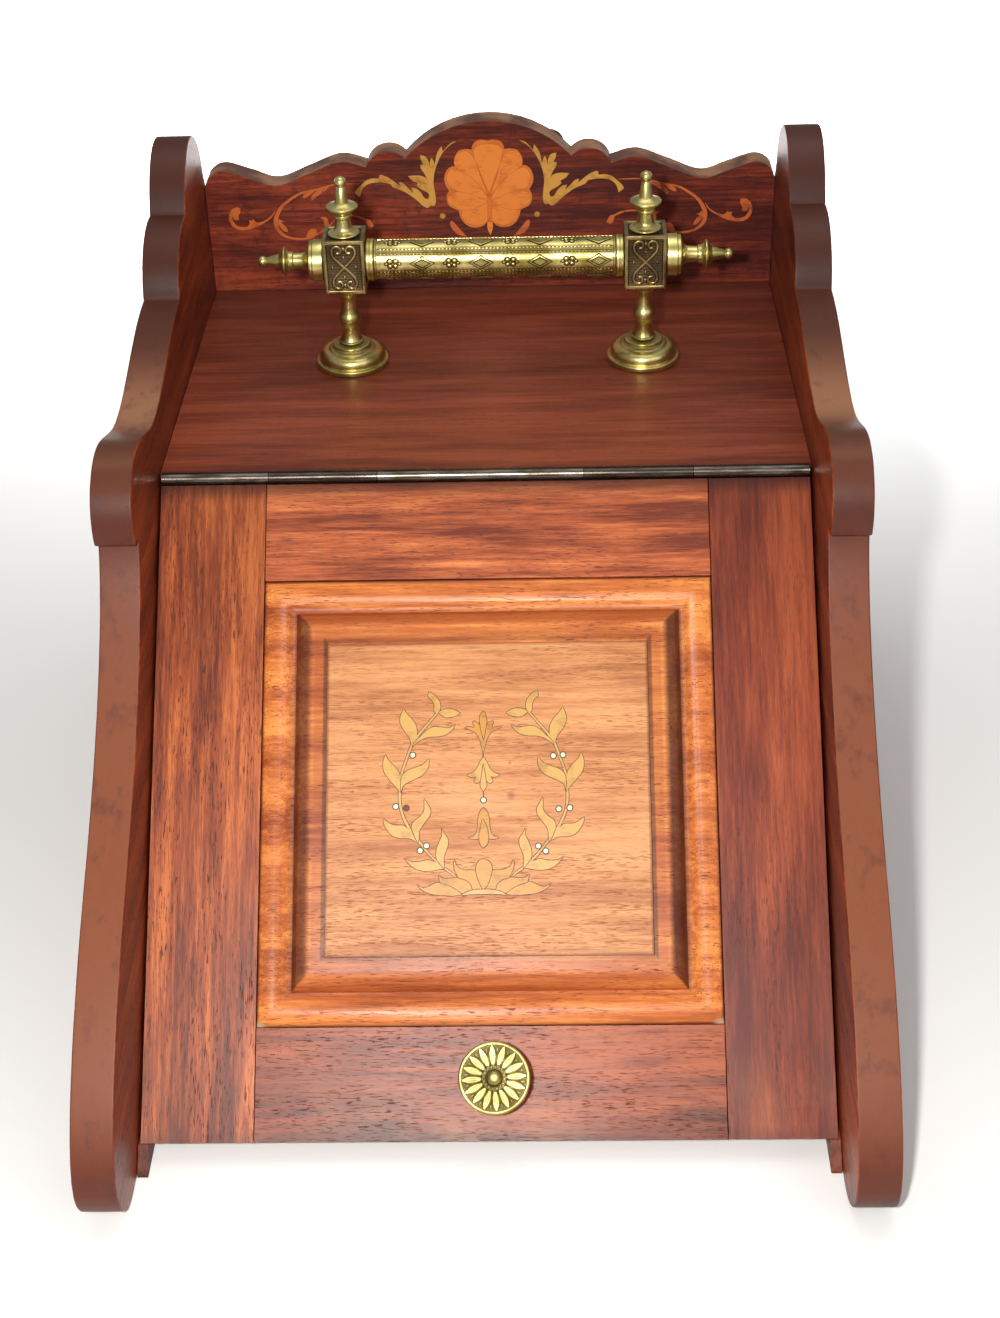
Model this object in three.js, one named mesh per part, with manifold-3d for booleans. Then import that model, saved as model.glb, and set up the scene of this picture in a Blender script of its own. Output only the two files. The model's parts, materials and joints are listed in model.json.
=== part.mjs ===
// Slope-front mahogany coal box (purdonium) with a brass carrying handle, a lift-out
// metal liner and a hearth shovel hung on its back. Millimetres, +Z up, +X to the right
// as seen from the front, +Y to the back.
import * as THREE from 'three';
import { mergeVertices } from 'three/addons/utils/BufferGeometryUtils.js';
import Module from 'manifold-3d';

const wasm = await Module();
wasm.setup();

// ---------------------------------------------------------------- driving dimensions
// Heights are above the floor. Depths run back from the line where the fall's face ends.

// Case
const clearWidth = 324; // between the two side boards
const sideThickness = 19.7;
const backDepth = 471.8; // back faces of the sides and the gallery
const shelfHeight = 229.6;
const shelfThickness = 16;
const backBoardThickness = 12;
const floorBoardThickness = 10;
const runnerWidth = 12;
const runnerHeight = 11;
const stopThickness = 5; // strip on each side that the fall closes against
const stopWidth = 20;
const stopTop = 40; // its upper end, down the slope from the hinge axis
const stopToe = 4; // rounding of its front end on the floor
const seat = 0.3; // clearance between pieces that touch
const backBoardLift = 2;

// Side boards: points where the front edge changes direction, as depth and height
const toeDepth = -43.5;
const toeRadius = 26;
const ogeeTurn = { depth: 63, height: 125, slope: 29.5 };
const lowerStep = { depth: 177, height: 230.5, slope: 72 };
const scroll = { depth: 200, height: 237.5, reach: 32, rise: 29.5 };
const sweepLow = { depth: 247, height: 256.5 };
const middleStep = { depth: 347, height: 274.8 };
const middleLobeRise = 10.3; // above the line between the two steps
const upperStep = { depth: 391.5, height: 303.9 };
const topLobe = { depth: 428, height: 332.5, radius: 31 };
const shoulderHeight = 288;

// Gallery, above the shelf: a crest, a small round each side of it and two waves
const galleryThickness = 15;
const crestHeight = 99.4;
const notchHeight = 78.6;
const notchReach = 46.7;
const bead = { reach: 56.6, height: 69.8, radius: 13 };
const beadFoot = { reach: 69, height: 73.7 };
const wavePeak = { reach: 84, height: 77.2 };
const waveHollow = { reach: 120.5, height: 64 };
const outerPeak = { reach: 150.5, height: 73 };
const galleryEndHeight = 62;

// Fall (the sloping door)
const fallSlope = 42.53; // degrees from the floor
const fallFoot = 11.7; // height of its lower edge
const fallThickness = 19;
const fallSideGap = 1.5;
const leftStileWidth = 52.2;
const rightStileWidth = 50.1;
const topRailEnd = 53; // all measured down the slope from the hinge axis
const bottomRailStart = 268.8;
const tabletStart = 87;
const tabletEnd = 237;
const tabletHalfWidth = 77;
const tabletThickness = 2.2;
const panelThickness = 15.5; // from the back of the raised board to the frame's face
const panelEdge = { height: -1.5 };
const panelBand = { inset: 7, height: 0.6 };
const panelValley = { inset: 14.5, height: -2.6 };
const panelRiser = { inset: 16, width: 8 };
const panelField = 4.4;

// Hinge
const barrelDrop = 1; // hinge axis below the shelf's top
const barrelRadius = 3.2;
const pinRadius = 1.3;
const leafThickness = 1;
const leafWidth = 16.5;
const leafGap = 0.6;
const knuckleEnds = [-160.3, -107, -53, 49, 103, 160.3];
const knuckleGap = 0.4;
const hingeScrewSpacing = 130;
const screwHeadRadius = 2.8;
const screwRadius = 1.5;
const hingeScrewLength = 9.5;
const hingeScrewInset = 12; // from the hinge's axis, across the leaf

// Knob
const knobOffset = 3.5; // to the right of the middle
const knobDown = 292.7;
const knobRadius = 16.5;
const knobHeight = 20;
const knobFootRadius = 8;
const knobBoltRadius = 2.2;
const knobBoltHead = { radius: 4.5, height: 2.6 };

// Carrying handle
const handleOffset = 4.8; // to the right of the shelf's middle
const pillarReach = 79.1;
const pillarDepth = 361.4;
const baseRadius = 19.7;
const baseHeight = 12.6;
const blockWidth = 22;
const blockHeight = 29.8;
const barHeight = 59.7; // bar's axis and the block's middle, above the shelf
const barRadius = 10.4;
const barWall = 2;
const collarRadius = 11;
const collarWidth = 4;
const tieRodRadius = 3;
const studRadius = 2.5;
const studGrip = 7; // thread in the block
const nutHeight = 4;
const nutRadius = 5.6;
const endFinial = { flange: 11, flangeWidth: 8, neck: 4.1, disc: 7.5, length: 35.6 };
const topFinial = { flange: 8.2, neck: 3.9, disc: 8.3, length: 31.2, spigot: 2.2, spigotLength: 5 };

// Liner (the metal coal bucket)
const linerHalfWidth = 150;
const linerWall = 1.5;
const linerSetback = 36; // behind the fall's face
const linerHeight = 188;
const linerLip = 95;
const linerBackGap = 8;
const pivotTail = 4; // bail's ends inside the liner's walls
const bailPivot = { depth: 300, height: 100 };
const bailReach = 108;
const bailWire = 2.2;
const bailHalfWidth = 154;
const earThickness = 1.2;
const earRadius = 11;

// Shovel on the back
const shovelOffset = 34;
const shovelStandOff = 19.5; // axis of its handle behind the back boards
const gripLength = 102.7;
const gripKnobRadius = 15;
const gripBellyRadius = 10.5;
const ferruleLength = 14;
const ferruleRadius = 8.8;
const shankRadius = 4.5;
const shankTang = 30; // its length inside the grip
const panTop = 130;
const panLength = 116;
const panHalfWidth = 50;
const panDepth = 30;
const panMouthDepth = 9;
const panWall = 1.2;
const panBackGap = 3;
const bracketDrop = 21.7; // middle of the bracket, below the shelf
const bracketPlate = { width: 26, height: 34, thickness: 2 };
const bracketArm = { thickness: 3, prong: 5, lip: 4, lipThickness: 2.4 };
const bracketScrewSpacing = 22;
const bracketScrewRadius = 1.9;
const bracketScrewHead = { radius: 3.4, height: 1.8 };
const bracketScrewLength = 9;

// ---------------------------------------------------------------- derived places
const slope = THREE.MathUtils.degToRad(fallSlope);
const sideInner = clearWidth / 2;
const boardEnd = sideInner - seat;
const hingeHeight = shelfHeight - barrelDrop;
const hingeDepth = (hingeHeight - fallFoot) / Math.tan(slope);
const fallLength = hingeDepth / Math.cos(slope);
const fallHalfWidth = sideInner - fallSideGap;
const panelMiddle = (leftStileWidth - rightStileWidth) / 2;
const panelHalfWidth = fallHalfWidth - (leftStileWidth + rightStileWidth) / 2;
const leafFace = leafGap / 2; // each leaf's bare face, from the hinge's middle plane
const woodFace = leafFace + leafThickness + seat; // board edge that the leaf lies on
const coveRadius = barrelRadius + seat;
const shelfUnderside = shelfHeight - shelfThickness;
const galleryFace = backDepth - galleryThickness;
const backBoardFace = backDepth - backBoardThickness;
const floorTop = runnerHeight + seat + floorBoardThickness;
const blockBottom = barHeight - blockHeight / 2;
const blockTop = blockBottom + blockHeight;
const shovelDepth = backDepth + shovelStandOff;
const bracketHeight = shelfUnderside - bracketDrop;
const ferruleFoot = bracketHeight + bracketArm.thickness / 2 + seat;
const gripFoot = ferruleFoot + ferruleLength + seat;
const shovelTop = gripFoot + gripLength;
const panBack = backDepth + panBackGap;
const overallBack = Math.max(shovelDepth + gripKnobRadius, panBack + panDepth);

// Depth of a plane parallel to the fall's face, set in behind it, at one height
function slopeDepth(setback, height) {
  return (height - fallFoot) / Math.tan(slope) + setback / Math.sin(slope);
}

// ---------------------------------------------------------------- solids
// Closed geometry with shared vertices, no empty triangles and its faces outward
function closed(geometry) {
  geometry.deleteAttribute('normal');
  geometry.deleteAttribute('uv');
  const merged = mergeVertices(geometry, 1e-4);
  const source = merged.index.array;
  const place = merged.attributes.position;
  const corners = [new THREE.Vector3(), new THREE.Vector3(), new THREE.Vector3()];
  const index = [];
  let volume = 0;
  for (let i = 0; i < source.length; i += 3) {
    const [a, b, c] = [source[i], source[i + 1], source[i + 2]];
    if (a === b || b === c || c === a) continue;
    index.push(a, b, c);
    [a, b, c].forEach((vertex, k) => corners[k].fromBufferAttribute(place, vertex));
    volume += corners[0].dot(corners[1].clone().cross(corners[2]));
  }
  if (volume < 0) index.reverse();
  merged.setIndex(index);
  return merged;
}

function toManifold(geometry) {
  const vertProperties = Float32Array.from(geometry.attributes.position.array);
  const triVerts = Uint32Array.from(geometry.index.array);
  return new wasm.Manifold(new wasm.Mesh({ numProp: 3, vertProperties, triVerts }));
}

function fromManifold(solid) {
  const mesh = solid.getMesh();
  const geometry = new THREE.BufferGeometry();
  geometry.setAttribute('position', new THREE.BufferAttribute(mesh.vertProperties, 3));
  geometry.setIndex(new THREE.BufferAttribute(mesh.triVerts, 1));
  return geometry;
}

function cut(geometry, tools) {
  return fromManifold(tools.reduce((solid, tool) => solid.subtract(toManifold(tool)), toManifold(geometry)));
}

function join(pieces) {
  return fromManifold(pieces.slice(1).reduce((solid, piece) => solid.add(toManifold(piece)), toManifold(pieces[0])));
}

function box(x0, x1, y0, y1, z0, z1) {
  const geometry = new THREE.BoxGeometry(x1 - x0, y1 - y0, z1 - z0);
  geometry.translate((x0 + x1) / 2, (y0 + y1) / 2, (z0 + z1) / 2);
  return closed(geometry);
}

// Board whose outline lies in depth and height, running from x0 to x1
function boardAlongX(outline, x0, x1, curveSegments = 12) {
  const geometry = new THREE.ExtrudeGeometry(outline, { depth: x1 - x0, bevelEnabled: false, curveSegments });
  const across = new THREE.Vector3(0, 1, 0);
  const up = new THREE.Vector3(0, 0, 1);
  const along = new THREE.Vector3(1, 0, 0);
  geometry.applyMatrix4(new THREE.Matrix4().makeBasis(across, up, along));
  geometry.translate(x0, 0, 0);
  return closed(geometry);
}

// Board whose outline lies in width and height, running from y0 back to y1
function boardAlongY(outline, y0, y1, curveSegments = 12) {
  const geometry = new THREE.ExtrudeGeometry(outline, { depth: y1 - y0, bevelEnabled: false, curveSegments });
  geometry.rotateX(Math.PI / 2);
  geometry.translate(0, y1, 0);
  return closed(geometry);
}

// Board whose outline lies flat, running from z0 up to z1
function boardAlongZ(outline, z0, z1) {
  const geometry = new THREE.ExtrudeGeometry(outline, { depth: z1 - z0, bevelEnabled: false });
  geometry.translate(0, 0, z0);
  return closed(geometry);
}

function polygon(points) {
  return new THREE.Shape(points.map(([a, b]) => new THREE.Vector2(a, b)));
}

// Turned piece about +Z; the profile lists radius and height
function turned(profile, segments = 24) {
  const geometry = new THREE.LatheGeometry(profile.map(([r, h]) => new THREE.Vector2(r, h)), segments);
  geometry.rotateX(Math.PI / 2);
  return closed(geometry);
}

function rod(radius, h0, h1, segments = 16) {
  return turned([[0, h0], [radius, h0], [radius, h1], [0, h1]], segments);
}

function ring(outer, bore, h0, h1, segments = 24) {
  return turned([[bore, h0], [outer, h0], [outer, h1], [bore, h1], [bore, h0]], segments);
}

// Countersunk screw with its head's face at zero and its point down -Z
function woodScrew(length) {
  const neck = -(screwHeadRadius - screwRadius);
  const point = -length + screwRadius * 2;
  return turned([[0, -length], [screwRadius, point], [screwRadius, neck], [screwHeadRadius, 0], [0, 0]], 12);
}

function screwHole(length) {
  const neck = -(screwHeadRadius - screwRadius);
  const wide = seat + 0.1;
  const profile = [[0, -length - seat], [screwRadius + seat, -length - seat], [screwRadius + seat, neck]];
  return turned([...profile, [screwHeadRadius + seat, 0], [screwHeadRadius + seat, wide], [0, wide]], 12);
}

// ---------------------------------------------------------------- finishes
function finish(color, roughness, metalness = 0) {
  return new THREE.MeshStandardMaterial({ color, roughness, metalness });
}

const mahogany = () => finish(0x7a3a20, 0.4);
const redMahogany = () => finish(0x8a3f22, 0.35);
const goldenMahogany = () => finish(0xb0622f, 0.35);
const pine = () => finish(0x9a7248, 0.7);
const brass = () => finish(0xa8924c, 0.35, 1);
const steel = () => finish(0x77726a, 0.45, 1);
const blackIron = () => finish(0x1d1c1b, 0.6, 0.6);
const ebony = () => finish(0x14110f, 0.3);

// ---------------------------------------------------------------- assembly helpers
const coalBox = new THREE.Group();
coalBox.position.y = -(toeDepth + overallBack) / 2;

function add(group, name, geometry, material, place = {}) {
  const mesh = new THREE.Mesh(geometry, material);
  mesh.name = name;
  mesh.position.set(place.x ?? 0, place.y ?? 0, place.z ?? 0);
  mesh.rotation.set(place.turnX ?? 0, place.turnY ?? 0, place.turnZ ?? 0);
  group.add(mesh);
  return mesh;
}

const hands = [{ name: 'left', sign: -1 }, { name: 'right', sign: 1 }];

// Span between two distances from the middle, on one hand of the box
function span(sign, near, far) {
  return sign < 0 ? [-far, -near] : [near, far];
}

// ---------------------------------------------------------------- side boards
function sideOutline() {
  const outline = new THREE.Shape();
  const toward = (from, degrees, length) => {
    const angle = THREE.MathUtils.degToRad(degrees);
    return [from.depth + length * Math.cos(angle), from.height + length * Math.sin(angle)];
  };
  outline.moveTo(backDepth, 0);
  outline.lineTo(backDepth, shoulderHeight);
  // top lobe, from the shoulder at the back over to the upper step
  const lobeBack = topLobe.depth + topLobe.radius;
  const lobeMiddle = topLobe.height - topLobe.radius;
  outline.quadraticCurveTo(lobeBack + 4, shoulderHeight + 2, lobeBack, lobeMiddle);
  outline.absarc(topLobe.depth, lobeMiddle, topLobe.radius, 0, Math.PI * 0.64, false);
  outline.quadraticCurveTo(upperStep.depth + 9, lobeMiddle + 21.3, upperStep.depth, upperStep.height);
  // middle lobe, a round between the upper and middle steps
  const chord = new THREE.Vector2(upperStep.depth - middleStep.depth, upperStep.height - middleStep.height);
  const lobeRadius = ((chord.length() / 2) ** 2 + middleLobeRise ** 2) / (2 * middleLobeRise);
  const drop = lobeRadius - middleLobeRise;
  const lean = chord.angle();
  const centreDepth = (upperStep.depth + middleStep.depth) / 2 + drop * Math.sin(lean);
  const centreHeight = (upperStep.height + middleStep.height) / 2 - drop * Math.cos(lean);
  const from = Math.atan2(upperStep.height - centreHeight, upperStep.depth - centreDepth);
  const to = Math.atan2(middleStep.height - centreHeight, middleStep.depth - centreDepth);
  outline.absarc(centreDepth, centreHeight, lobeRadius, from, to, false);
  // long sweep down to its low point and up on to the scroll
  const scrollTop = scroll.height + scroll.rise;
  outline.bezierCurveTo(
    middleStep.depth - 38, middleStep.height, sweepLow.depth + 30, sweepLow.height,
    sweepLow.depth, sweepLow.height);
  outline.bezierCurveTo(
    sweepLow.depth - 18, sweepLow.height, scroll.depth + 14, scrollTop,
    scroll.depth, scrollTop);
  outline.absellipse(scroll.depth, scroll.height, scroll.reach, scroll.rise, Math.PI / 2, Math.PI * 1.07, false);
  outline.lineTo(lowerStep.depth, lowerStep.height);
  // ogee from the lower step to the toe
  const turn = ogeeTurn;
  outline.bezierCurveTo(
    ...toward(lowerStep, lowerStep.slope + 180, 36), ...toward(turn, turn.slope, 55),
    turn.depth, turn.height);
  outline.bezierCurveTo(
    ...toward(turn, turn.slope + 180, 52), toeDepth, toeRadius + 30,
    toeDepth, toeRadius);
  outline.absarc(toeDepth + toeRadius, toeRadius, toeRadius, Math.PI, Math.PI * 1.5, false);
  outline.closePath();
  return outline;
}

for (const { name, sign } of hands) {
  const [x0, x1] = span(sign, sideInner, sideInner + sideThickness);
  add(coalBox, `${name}_side`, boardAlongX(sideOutline(), x0, x1, 12), mahogany());
}

// ---------------------------------------------------------------- gallery, shelf, back, floor
function galleryOutline() {
  const outline = new THREE.Shape();
  const crestRadius = (notchReach ** 2 + (crestHeight - notchHeight) ** 2) / (2 * (crestHeight - notchHeight));
  const crestHalfAngle = Math.asin(notchReach / crestRadius);
  const crestCentre = crestHeight - crestRadius;
  const beadStart = Math.atan2(notchHeight - bead.height, notchReach - bead.reach);
  const beadEnd = Math.atan2(beadFoot.height - bead.height, beadFoot.reach - bead.reach);
  const waves = [
    [beadFoot.reach, beadFoot.height],
    [wavePeak.reach, wavePeak.height],
    [(wavePeak.reach + waveHollow.reach) / 2, (wavePeak.height + waveHollow.height) / 2],
    [waveHollow.reach, waveHollow.height],
    [(waveHollow.reach + outerPeak.reach) / 2, (waveHollow.height + outerPeak.height) / 2],
    [outerPeak.reach, outerPeak.height],
    [outerPeak.reach + 8.5, outerPeak.height - 4],
    [boardEnd, galleryEndHeight],
  ];
  const inward = waves.slice(0, -1).reverse().map(([reach, height]) => new THREE.Vector2(reach, height));
  const outward = waves.slice(1).map(([reach, height]) => new THREE.Vector2(-reach, height));
  outline.moveTo(-boardEnd, 0);
  outline.lineTo(boardEnd, 0);
  outline.lineTo(boardEnd, galleryEndHeight);
  outline.splineThru(inward);
  outline.absarc(bead.reach, bead.height, bead.radius, beadEnd, beadStart, false);
  outline.absarc(0, crestCentre, crestRadius, Math.PI / 2 - crestHalfAngle, Math.PI / 2 + crestHalfAngle, false);
  outline.absarc(-bead.reach, bead.height, bead.radius, Math.PI - beadStart, Math.PI - beadEnd, false);
  outline.lineTo(-beadFoot.reach, beadFoot.height);
  outline.splineThru(outward);
  outline.closePath();
  return outline;
}

const hingeScrewPlaces = [-hingeScrewSpacing, 0, hingeScrewSpacing];

// The shelf's front edge is cut square to the fall and hollowed for the hinge's barrel
function shelfOutline() {
  const outline = new THREE.Shape();
  const along = Math.sqrt(coveRadius ** 2 - woodFace ** 2);
  const edge = new THREE.Vector2(
    woodFace * Math.cos(slope) + along * Math.sin(slope),
    woodFace * Math.sin(slope) - along * Math.cos(slope));
  const bevelRun = (shelfThickness - barrelDrop + woodFace * Math.sin(slope)) / Math.cos(slope);
  outline.moveTo(backDepth, shelfUnderside);
  outline.lineTo(backDepth, shelfHeight);
  outline.absarc(hingeDepth, hingeHeight, coveRadius, Math.asin(barrelDrop / coveRadius), edge.angle(), true);
  outline.lineTo(
    hingeDepth + woodFace * Math.cos(slope) + bevelRun * Math.sin(slope),
    shelfUnderside);
  outline.closePath();
  return outline;
}

function shelfBoard() {
  const pillarBores = hands.map(({ sign }) => {
    const bore = rod(studRadius + seat, shelfUnderside - 1, shelfHeight + 1);
    return bore.translate(handleOffset + sign * pillarReach, pillarDepth, 0);
  });
  const screwHoles = hingeScrewPlaces.map((x) => {
    const hole = screwHole(hingeScrewLength);
    hole.rotateX(Math.PI / 2);
    hole.translate(x, leafFace, -hingeScrewInset);
    hole.rotateX(slope);
    return hole.translate(0, hingeDepth, hingeHeight);
  });
  return cut(boardAlongX(shelfOutline(), -boardEnd, boardEnd, 4), [...pillarBores, ...screwHoles]);
}

function floorOutline() {
  const notch = slopeDepth(fallThickness + seat * 2 + stopWidth, floorTop) + seat;
  const front = slopeDepth(fallThickness + seat, floorTop) + seat;
  const inset = sideInner - seat - stopThickness - seat;
  const back = backBoardFace - seat;
  return polygon([
    [-inset, front], [inset, front], [inset, notch], [boardEnd, notch],
    [boardEnd, back], [-boardEnd, back], [-boardEnd, notch], [-inset, notch],
  ]);
}

function backBoard() {
  const screwHoles = [-1, 1].map((way) => {
    const hole = rod(bracketScrewRadius + seat, -bracketScrewLength - seat, 1, 12);
    hole.rotateX(-Math.PI / 2);
    return hole.translate(shovelOffset, backDepth, bracketHeight + way * bracketScrewSpacing / 2);
  });
  const board = box(
    -boardEnd, boardEnd, backBoardFace, backDepth,
    backBoardLift, shelfUnderside - seat);
  return cut(board, screwHoles);
}

add(coalBox, 'gallery_board', boardAlongY(galleryOutline(), galleryFace, backDepth, 8), redMahogany(), {
  z: shelfHeight + seat,
});
add(coalBox, 'shelf_board', shelfBoard(), mahogany());
add(coalBox, 'back_board', backBoard(), pine());
add(coalBox, 'floor_board', boardAlongZ(floorOutline(), runnerHeight + seat, floorTop), pine());

// ---------------------------------------------------------------- runners and fall stops
function stopOutline() {
  const nearFall = fallThickness + seat;
  const footHeight = fallFoot - seat;
  const upper = (setback) => [
    hingeDepth - stopTop * Math.cos(slope) + setback * Math.sin(slope),
    hingeHeight - stopTop * Math.sin(slope) - setback * Math.cos(slope),
  ];
  const outline = new THREE.Shape();
  const toe = slopeDepth(0, 0);
  outline.moveTo(slopeDepth(nearFall + stopWidth, 0), 0);
  outline.lineTo(...upper(nearFall + stopWidth));
  outline.lineTo(...upper(nearFall));
  outline.lineTo(slopeDepth(nearFall, footHeight), footHeight);
  outline.lineTo(slopeDepth(0, footHeight), footHeight);
  outline.lineTo(slopeDepth(0, stopToe), stopToe);
  outline.quadraticCurveTo(toe, 0, toe + stopToe, 0);
  outline.closePath();
  return outline;
}

for (const { name, sign } of hands) {
  const [x0, x1] = span(sign, boardEnd - stopThickness, boardEnd);
  add(coalBox, `${name}_fall_stop`, boardAlongX(stopOutline(), x0, x1, 4), mahogany());
  const [r0, r1] = span(sign, boardEnd - runnerWidth, boardEnd);
  const runnerFront = slopeDepth(fallThickness + seat + stopWidth, runnerHeight) + seat;
  const runner = box(r0, r1, runnerFront, backBoardFace - seat, 0, runnerHeight);
  add(coalBox, `${name}_runner`, runner, pine());
}

// ---------------------------------------------------------------- hinge
// Both leaves are drawn about the hinge's axis, with the slope's upward direction as +Y
// and the outward direction of the fall's face as +Z.
const hinge = new THREE.Group();
hinge.position.set(0, hingeDepth, hingeHeight);
hinge.rotation.x = slope;
coalBox.add(hinge);

function leaf(side, knuckles) {
  const [y0, y1] = side > 0 ? [leafFace, leafFace + leafThickness] : [-leafFace - leafThickness, -leafFace];
  const end = knuckleEnds[knuckleEnds.length - 1];
  const plate = box(-end, end, y0, y1, -leafWidth, -coveRadius - seat);
  const parts = [plate];
  for (const k of knuckles) {
    const x0 = knuckleEnds[k] + knuckleGap / 2;
    const x1 = knuckleEnds[k + 1] - knuckleGap / 2;
    const knuckle = ring(barrelRadius, pinRadius + seat, x0, x1, 20);
    parts.push(knuckle.rotateY(Math.PI / 2));
    parts.push(box(x0, x1, y0, y1, -coveRadius - seat * 2, -(pinRadius + seat * 2)));
  }
  const holes = hingeScrewPlaces.map((x) => {
    const hole = screwHole(hingeScrewLength);
    hole.rotateX(side > 0 ? Math.PI / 2 : -Math.PI / 2);
    return hole.translate(x, side * leafFace, -hingeScrewInset);
  });
  return cut(join(parts), holes);
}

add(hinge, 'shelf_hinge_leaf', leaf(1, [0, 2, 4]), steel());
add(hinge, 'fall_hinge_leaf', leaf(-1, [1, 3]), steel());
const pinLength = knuckleEnds[knuckleEnds.length - 1] - knuckleEnds[0] - knuckleGap;
add(hinge, 'hinge_pin', rod(pinRadius, -pinLength / 2, pinLength / 2, 12), steel(), { turnY: Math.PI / 2 });
hingeScrewPlaces.forEach((x, i) => {
  const place = { x, z: -hingeScrewInset };
  add(hinge, `shelf_hinge_screw_${i + 1}`, woodScrew(hingeScrewLength), steel(), {
    ...place, y: leafFace, turnX: Math.PI / 2,
  });
  add(hinge, `fall_hinge_screw_${i + 1}`, woodScrew(hingeScrewLength), steel(), {
    ...place, y: -leafFace, turnX: -Math.PI / 2,
  });
});

// ---------------------------------------------------------------- fall
const fall = new THREE.Group();
fall.position.copy(hinge.position);
fall.rotation.copy(hinge.rotation);
coalBox.add(fall);

// Section of the fall's frame between two distances down the slope; the upper end is
// hollowed for the barrel and the lower end is cut level with the floor
function frameSection(start, end) {
  const outline = new THREE.Shape();
  const back = -fallThickness;
  if (start === 0) {
    const along = Math.sqrt(coveRadius ** 2 - woodFace ** 2);
    outline.absarc(0, 0, coveRadius, -Math.PI, -Math.PI + Math.atan2(along, woodFace), false);
    outline.lineTo(-woodFace, back);
  } else {
    outline.moveTo(-start, 0);
    outline.lineTo(-start, back);
  }
  if (end === fallLength) {
    outline.lineTo(-end + fallThickness / Math.tan(slope), back);
  } else {
    outline.lineTo(-end, back);
  }
  outline.lineTo(-end, 0);
  outline.closePath();
  return outline;
}

function fallScrewHole(x) {
  const hole = screwHole(hingeScrewLength);
  hole.rotateX(-Math.PI / 2);
  return hole.translate(x, -leafFace, -hingeScrewInset);
}

const panelLeft = panelMiddle - panelHalfWidth;
const panelRight = panelMiddle + panelHalfWidth;
const leftStile = boardAlongX(frameSection(0, fallLength), -fallHalfWidth, panelLeft, 4);
const rightStile = boardAlongX(frameSection(0, fallLength), panelRight, fallHalfWidth, 4);
const topRail = boardAlongX(frameSection(0, topRailEnd), panelLeft + seat, panelRight - seat, 4);
const bottomRail = boardAlongX(frameSection(bottomRailStart, fallLength), panelLeft + seat, panelRight - seat);
const knobBore = rod(knobBoltRadius + seat, -fallThickness - 1, 1).translate(knobOffset, -knobDown, 0);
add(fall, 'fall_left_stile', cut(leftStile, [fallScrewHole(hingeScrewPlaces[0])]), redMahogany());
add(fall, 'fall_right_stile', cut(rightStile, [fallScrewHole(hingeScrewPlaces[2])]), redMahogany());
add(fall, 'fall_top_rail', cut(topRail, [fallScrewHole(hingeScrewPlaces[1])]), redMahogany());
add(fall, 'fall_bottom_rail', cut(bottomRail, [knobBore]), redMahogany());

// Raised board: the moulding is a stack of oblong rings, each inset from the one below
function raisedPanel() {
  const section = [[0, -panelThickness], [0, panelEdge.height]];
  const steps = 4;
  for (let i = 1; i <= steps; i += 1) {
    const part = i / steps;
    const rise = Math.sin(part * Math.PI * 0.5) * (panelBand.height - panelEdge.height);
    section.push([panelBand.inset * part, panelEdge.height + rise]);
  }
  for (let i = 1; i <= steps; i += 1) {
    const part = i / steps;
    const fallAway = (1 - Math.cos(part * Math.PI * 0.5)) * (panelBand.height - panelValley.height);
    section.push([panelBand.inset + (panelValley.inset - panelBand.inset) * part, panelBand.height - fallAway]);
  }
  section.push([panelRiser.inset, panelValley.height]);
  for (let i = 1; i <= steps; i += 1) {
    const angle = (i / steps) * Math.PI * 0.5;
    const inset = panelRiser.inset + panelRiser.width * (1 - Math.cos(angle));
    section.push([inset, panelValley.height + (panelField - panelValley.height) * Math.sin(angle)]);
  }
  const halfWidth = panelHalfWidth - seat;
  const start = topRailEnd + seat;
  const end = bottomRailStart - seat;
  const positions = [];
  const index = [];
  section.forEach(([inset, height], ringNumber) => {
    const [x0, x1] = [panelMiddle - halfWidth + inset, panelMiddle + halfWidth - inset];
    const [y0, y1] = [-end + inset, -start - inset];
    positions.push(x0, y0, height, x1, y0, height, x1, y1, height, x0, y1, height);
    if (ringNumber === 0) return;
    const below = (ringNumber - 1) * 4;
    for (let corner = 0; corner < 4; corner += 1) {
      const next = (corner + 1) % 4;
      index.push(below + corner, below + next, below + 4 + next);
      index.push(below + corner, below + 4 + next, below + 4 + corner);
    }
  });
  const last = (section.length - 1) * 4;
  index.push(0, 2, 1, 0, 3, 2, last, last + 1, last + 2, last, last + 2, last + 3);
  const geometry = new THREE.BufferGeometry();
  geometry.setAttribute('position', new THREE.Float32BufferAttribute(positions, 3));
  geometry.setIndex(index);
  return closed(geometry);
}

add(fall, 'fall_raised_panel', raisedPanel(), goldenMahogany());
const tablet = box(
  panelMiddle - tabletHalfWidth, panelMiddle + tabletHalfWidth, -tabletEnd, -tabletStart,
  panelField + seat, panelField + seat + tabletThickness);
add(fall, 'fall_inlay_tablet', tablet, goldenMahogany());

// ---------------------------------------------------------------- knob
function knobRosette() {
  const bore = knobBoltRadius + seat;
  return turned([
    [0, 9], [bore, 9], [bore, seat], [knobFootRadius, seat], [knobFootRadius, 2.5], [5.5, 5],
    [5, 10], [8, 13.5], [knobRadius, 14.5], [knobRadius, 17.3], [15, 18.6], [11, 18],
    [5.8, 17.4], [4.6, 18.8], [2.6, knobHeight - 0.3], [0, knobHeight],
  ], 32);
}

function knobBolt() {
  const underHead = -fallThickness - seat;
  const head = underHead - knobBoltHead.height;
  return turned([
    [0, head], [knobBoltHead.radius - 1, head], [knobBoltHead.radius, head + 1],
    [knobBoltHead.radius, underHead], [knobBoltRadius, underHead], [knobBoltRadius, 8.5], [0, 8.5],
  ], 16);
}

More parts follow.
